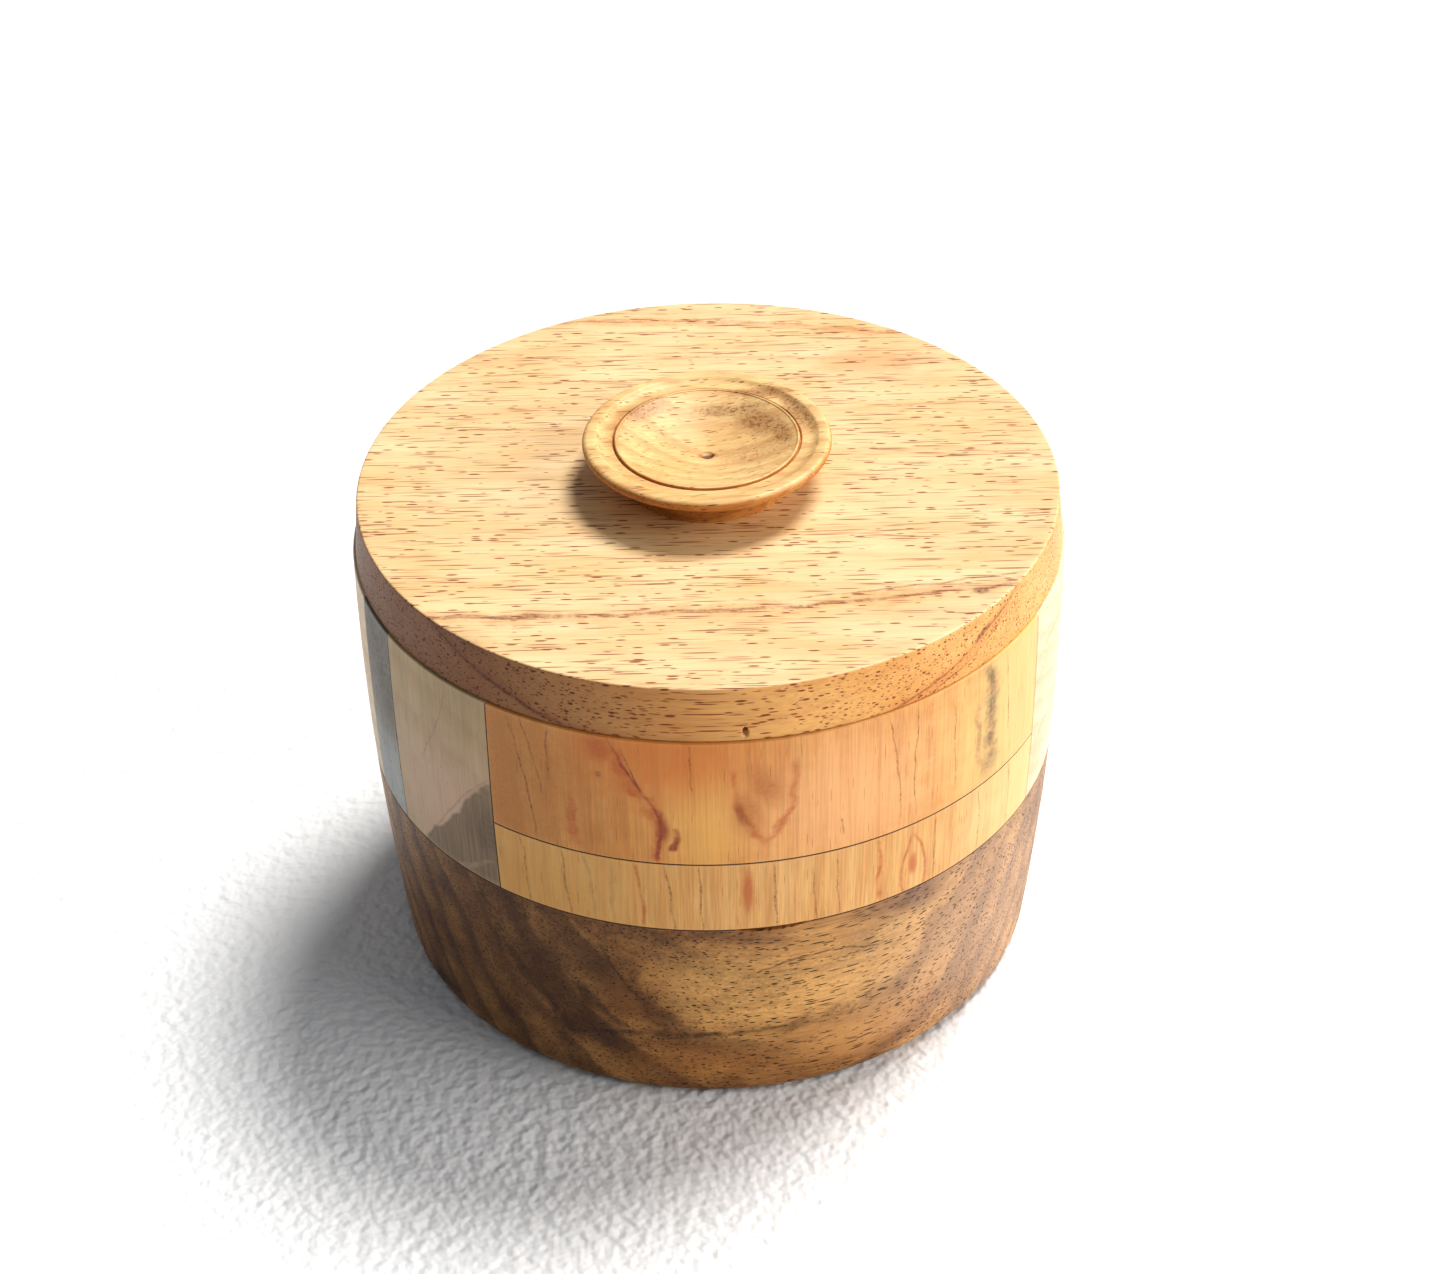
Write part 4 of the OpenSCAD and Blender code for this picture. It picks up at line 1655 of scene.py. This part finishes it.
@dataclass
class Katoris:
    """The seven steel cups in the box."""

    sheet: float = 0.0008
    curl: float = 0.0009
    taper: float = 0.0012
    corner: float = 0.003
    names: tuple[str, ...] = ("katori_centre", *(f"katori_{i}" for i in range(1, 7)))
    lathe: Lathe = field(default_factory=lambda: Lathe(40.0))

    def build(self) -> None:
        """Makes and dresses each cup."""
        for name in self.names:
            low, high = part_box(name)
            centre = ((low.x + high.x) / 2, (low.y + high.y) / 2)
            outline = self.outline((high.x - low.x) / 2, low.z, high.z)
            piece = self.lathe.turn(f"{name}_cup", outline, Sweep(step=3.0), centre=centre)
            place_piece(piece, SteelFinish(f"steel_{name}").material(centre), name, [name])

    def outline(self, rim: float, bottom: float, top: float) -> Outline:
        """A cup's outline: pressed from sheet, with a rounded foot and a curled rim.

        Args:
            rim: Radius over the curl.
            bottom: Height of its underside.
            top: Height of its rim.

        Returns:
            The outline, from the middle of the underside to the middle of the inside.
        """
        wall = rim - self.curl
        base = wall - self.taper
        foot = (base - self.corner, bottom + self.corner)
        curl = (wall, top - self.curl)
        inset, step, inside = 0.0003, 0.006, wall - self.sheet
        return [
            (0.0, bottom + inset),
            (base * 0.55, bottom + inset),
            (base * 0.62, bottom),
            *arc(foot, self.corner, -90, 0, 8),
            *blend_points((base + 0.0001, bottom + step), (wall, top - 3 * self.curl), 6),
            *arc(curl, self.curl, -82, 196, 20),
            *blend_points((inside, top - 2.6 * self.curl), (base - self.sheet + 0.0001, bottom + step), 6),
            *arc(foot, self.corner - self.sheet, 0, -90, 8),
            (base * 0.62, bottom + self.sheet),
            (base * 0.55, bottom + self.sheet + inset),
            (0.0, bottom + self.sheet + inset),
        ]


@dataclass
class Spoon:
    """The little spice spoon: a round shallow bowl on a flat tapered handle."""

    azimuth: float = 30.0
    pitch: float = 0.034833
    bowl_radius: float = 0.010967
    bowl_depth: float = 0.0055
    sheet: float = 0.0008
    handle_end: float = 0.048
    handle_width: float = 0.006
    neck_width: float = 0.0046
    lathe: Lathe = field(default_factory=lambda: Lathe(50.0))

    def build(self) -> None:
        """Makes and dresses the spoon."""
        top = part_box("spice_spoon")[1].z
        bm = bmesh.new()
        self.bowl(bm, top)
        self.handle(bm, top)
        turn = Matrix.Rotation(math.radians(self.azimuth - 90.0), 4, "Z")
        bmesh.ops.transform(bm, matrix=turn, verts=bm.verts)
        piece = self.lathe.finish("spoon_forged", bm)
        steel = SteelFinish("spoon_steel", roughness=0.2, ring_scale=4.0)
        place_piece(piece, steel.material(), "spoon", ["spice_spoon"])

    def bowl(self, bm: BMesh, top: float) -> None:
        """Adds the bowl, a slice of a thin ball.

        Args:
            bm: The mesh being written, with the spoon lying along X.
            top: Height of the bowl's rim.
        """
        ball = (self.bowl_radius**2 + self.bowl_depth**2) / (2 * self.bowl_depth)
        centre = (0.0, top - self.bowl_depth + ball)
        reach = math.degrees(math.asin(self.bowl_radius / ball))
        outside = arc(centre, ball, -90, -90 + reach - 1.0, 14)
        inside = arc(centre, ball - self.sheet, -90 + reach - 1.0, -90, 14)
        lip = [(self.bowl_radius - 0.0001, top - 0.0001), (self.bowl_radius - 0.0005, top)]
        outline = [(0.0, outside[0][1]), *outside[1:], *lip, *inside[1:-1], (0.0, inside[-1][1])]
        self.lathe.add(bm, outline, Sweep(step=4.0), centre=(self.pitch, 0.0))

    def handle(self, bm: BMesh, top: float) -> None:
        """Adds the handle as rounded sections from the bowl to its round end.

        Args:
            bm: The mesh being written, with the spoon lying along X.
            top: Height of the handle's upper face.
        """
        start = self.pitch - self.bowl_radius + 0.0008
        end = -self.handle_end
        stations = [start + (end - start) * i / 40 for i in range(38)]
        half_end = self.handle_width / 2
        stations += [end + half_end * (1 - math.sin(math.radians(a))) for a in range(12, 90, 8)]
        stations = sorted({round(x, 7) for x in stations if x >= end}, reverse=True)
        rings = []
        for x in stations:
            along = (start - x) / (start - end)
            half = (self.neck_width + (self.handle_width - self.neck_width) * min(1.0, along * 1.3)) / 2
            past = (end + half_end) - x
            if past > 0:
                half = min(half, math.sqrt(max(1e-10, half_end**2 - past**2)))
            thick = 0.0008 * min(1.0, 0.72 + 0.28 * bell(1.0 - min(1.0, along * 2)))
            middle = top - thick
            ring = []
            for step in range(20):
                a = math.tau * step / 20
                c, s = math.cos(a), math.sin(a)
                y = half * math.copysign(abs(c) ** 0.5, c)
                z = middle + thick * math.copysign(abs(s) ** 0.7, s)
                ring.append(bm.verts.new((x, y, z)))
            rings.append(ring)
        for near, far in zip(rings, rings[1:]):
            for i in range(20):
                j = (i + 1) % 20
                bm.faces.new((near[i], near[j], far[j], far[i]))
        bm.faces.new(rings[0])
        bm.faces.new(list(reversed(rings[-1])))


# ---------------------------------------------------------------------------------------------
# The studio


@dataclass(frozen=True)
class Sunlight:
    """A large far light: where it comes from, how strong it is and how soft."""

    name: str
    azimuth: float
    elevation: float
    strength: float
    softness: float
    colour: Colour = (1.0, 1.0, 1.0)

    def hang(self) -> None:
        """Puts the light into the scene."""
        lamp = bpy.data.lights.new(self.name, "SUN")
        lamp.energy = self.strength
        lamp.angle = math.radians(self.softness)
        lamp.color = self.colour
        holder = bpy.data.objects.new(self.name, lamp)
        a, e = math.radians(self.azimuth), math.radians(self.elevation)
        towards = Vector((math.sin(a) * math.cos(e), -math.cos(a) * math.cos(e), math.sin(e)))
        holder.rotation_euler = towards.to_track_quat("Z", "Y").to_euler()
        bpy.context.scene.collection.objects.link(holder)


@dataclass
class Studio:
    """A pale pebbled table, soft light from the right and behind, and the camera."""

    floor_half: float = 1.6
    table_colour: Colour = (0.82, 0.82, 0.82)
    room: Colour = (0.86, 0.93, 1.0)
    room_strength: float = 0.25
    lens: float = 69.76
    camera_place: tuple[float, float, float] = (0.0020, -0.4032, 0.3530)
    camera_tilt: float = 36.39
    camera_roll: float = -1.08
    lights: tuple[Sunlight, ...] = (
        Sunlight("key", 139.0, 60.0, 3.5, 22.0, (1.0, 0.985, 0.96)),
        Sunlight("side", 78.0, 15.0, 3.0, 55.0, (1.0, 0.98, 0.95)),
    )

    def build(self) -> None:
        """Sets up the table, the light and the camera."""
        self.table()
        for light in self.lights:
            light.hang()
        world = bpy.data.worlds.new("room")
        world.use_nodes = True
        sky = world.node_tree.nodes["Background"]
        sky.inputs["Color"].default_value = (*self.room, 1.0)
        sky.inputs["Strength"].default_value = self.room_strength
        bpy.context.scene.world = world
        shown = bpy.context.scene.view_settings
        shown.view_transform = "Standard"
        shown.look = "Medium High Contrast"
        self.camera()

    def table(self) -> None:
        """Makes the table's pale, finely pebbled top."""
        bm = bmesh.new()
        bmesh.ops.create_grid(bm, x_segments=8, y_segments=8, size=self.floor_half)
        mesh = bpy.data.meshes.new("table_top")
        bm.to_mesh(mesh)
        bm.free()
        floor = bpy.data.objects.new("table_top", mesh)
        bpy.context.scene.collection.objects.link(floor)
        made, r, where = start_material("table_top")
        pebbles = r.noise(where.outputs["Place"], 0.46, 1.0, 0.4)
        broad = r.noise(where.outputs["Place"], 0.02, 2.0)
        roughness = r.times_plus(broad, 0.15, 0.5)
        height = r.times_plus(broad, 0.2, pebbles)
        r.surface(self.table_colour, roughness, height, bump=0.9, depth=0.75)
        mesh.materials.append(made)

    def camera(self) -> None:
        """Places the camera in front of the box, looking down on it."""
        eye = bpy.data.cameras.new("camera")
        eye.lens = self.lens
        eye.sensor_width = 36.0
        eye.clip_start = 0.01
        holder = bpy.data.objects.new("camera", eye)
        tilt, roll = math.radians(self.camera_tilt), math.radians(self.camera_roll)
        forward = Vector((0.0, math.cos(tilt), -math.sin(tilt)))
        upright = Vector((0.0, math.sin(tilt), math.cos(tilt)))
        right = Vector((1.0, 0.0, 0.0))
        side = right * math.cos(roll) + upright * math.sin(roll)
        up = upright * math.cos(roll) - right * math.sin(roll)
        turn = Matrix((side, up, -forward)).transposed()
        holder.matrix_world = Matrix.Translation(self.camera_place) @ turn.to_4x4()
        bpy.context.scene.collection.objects.link(holder)
        bpy.context.scene.camera = holder


def main() -> None:
    """Builds the box, its contents and the studio."""
    logging.basicConfig(level=logging.INFO, format="%(name)s: %(message)s")
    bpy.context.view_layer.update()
    for group in (WoodenBody(), Lid(), Katoris(), Spoon(), Studio()):
        log.info("building %s", type(group).__name__)
        group.build()


if __name__ == "__main__":
    main()
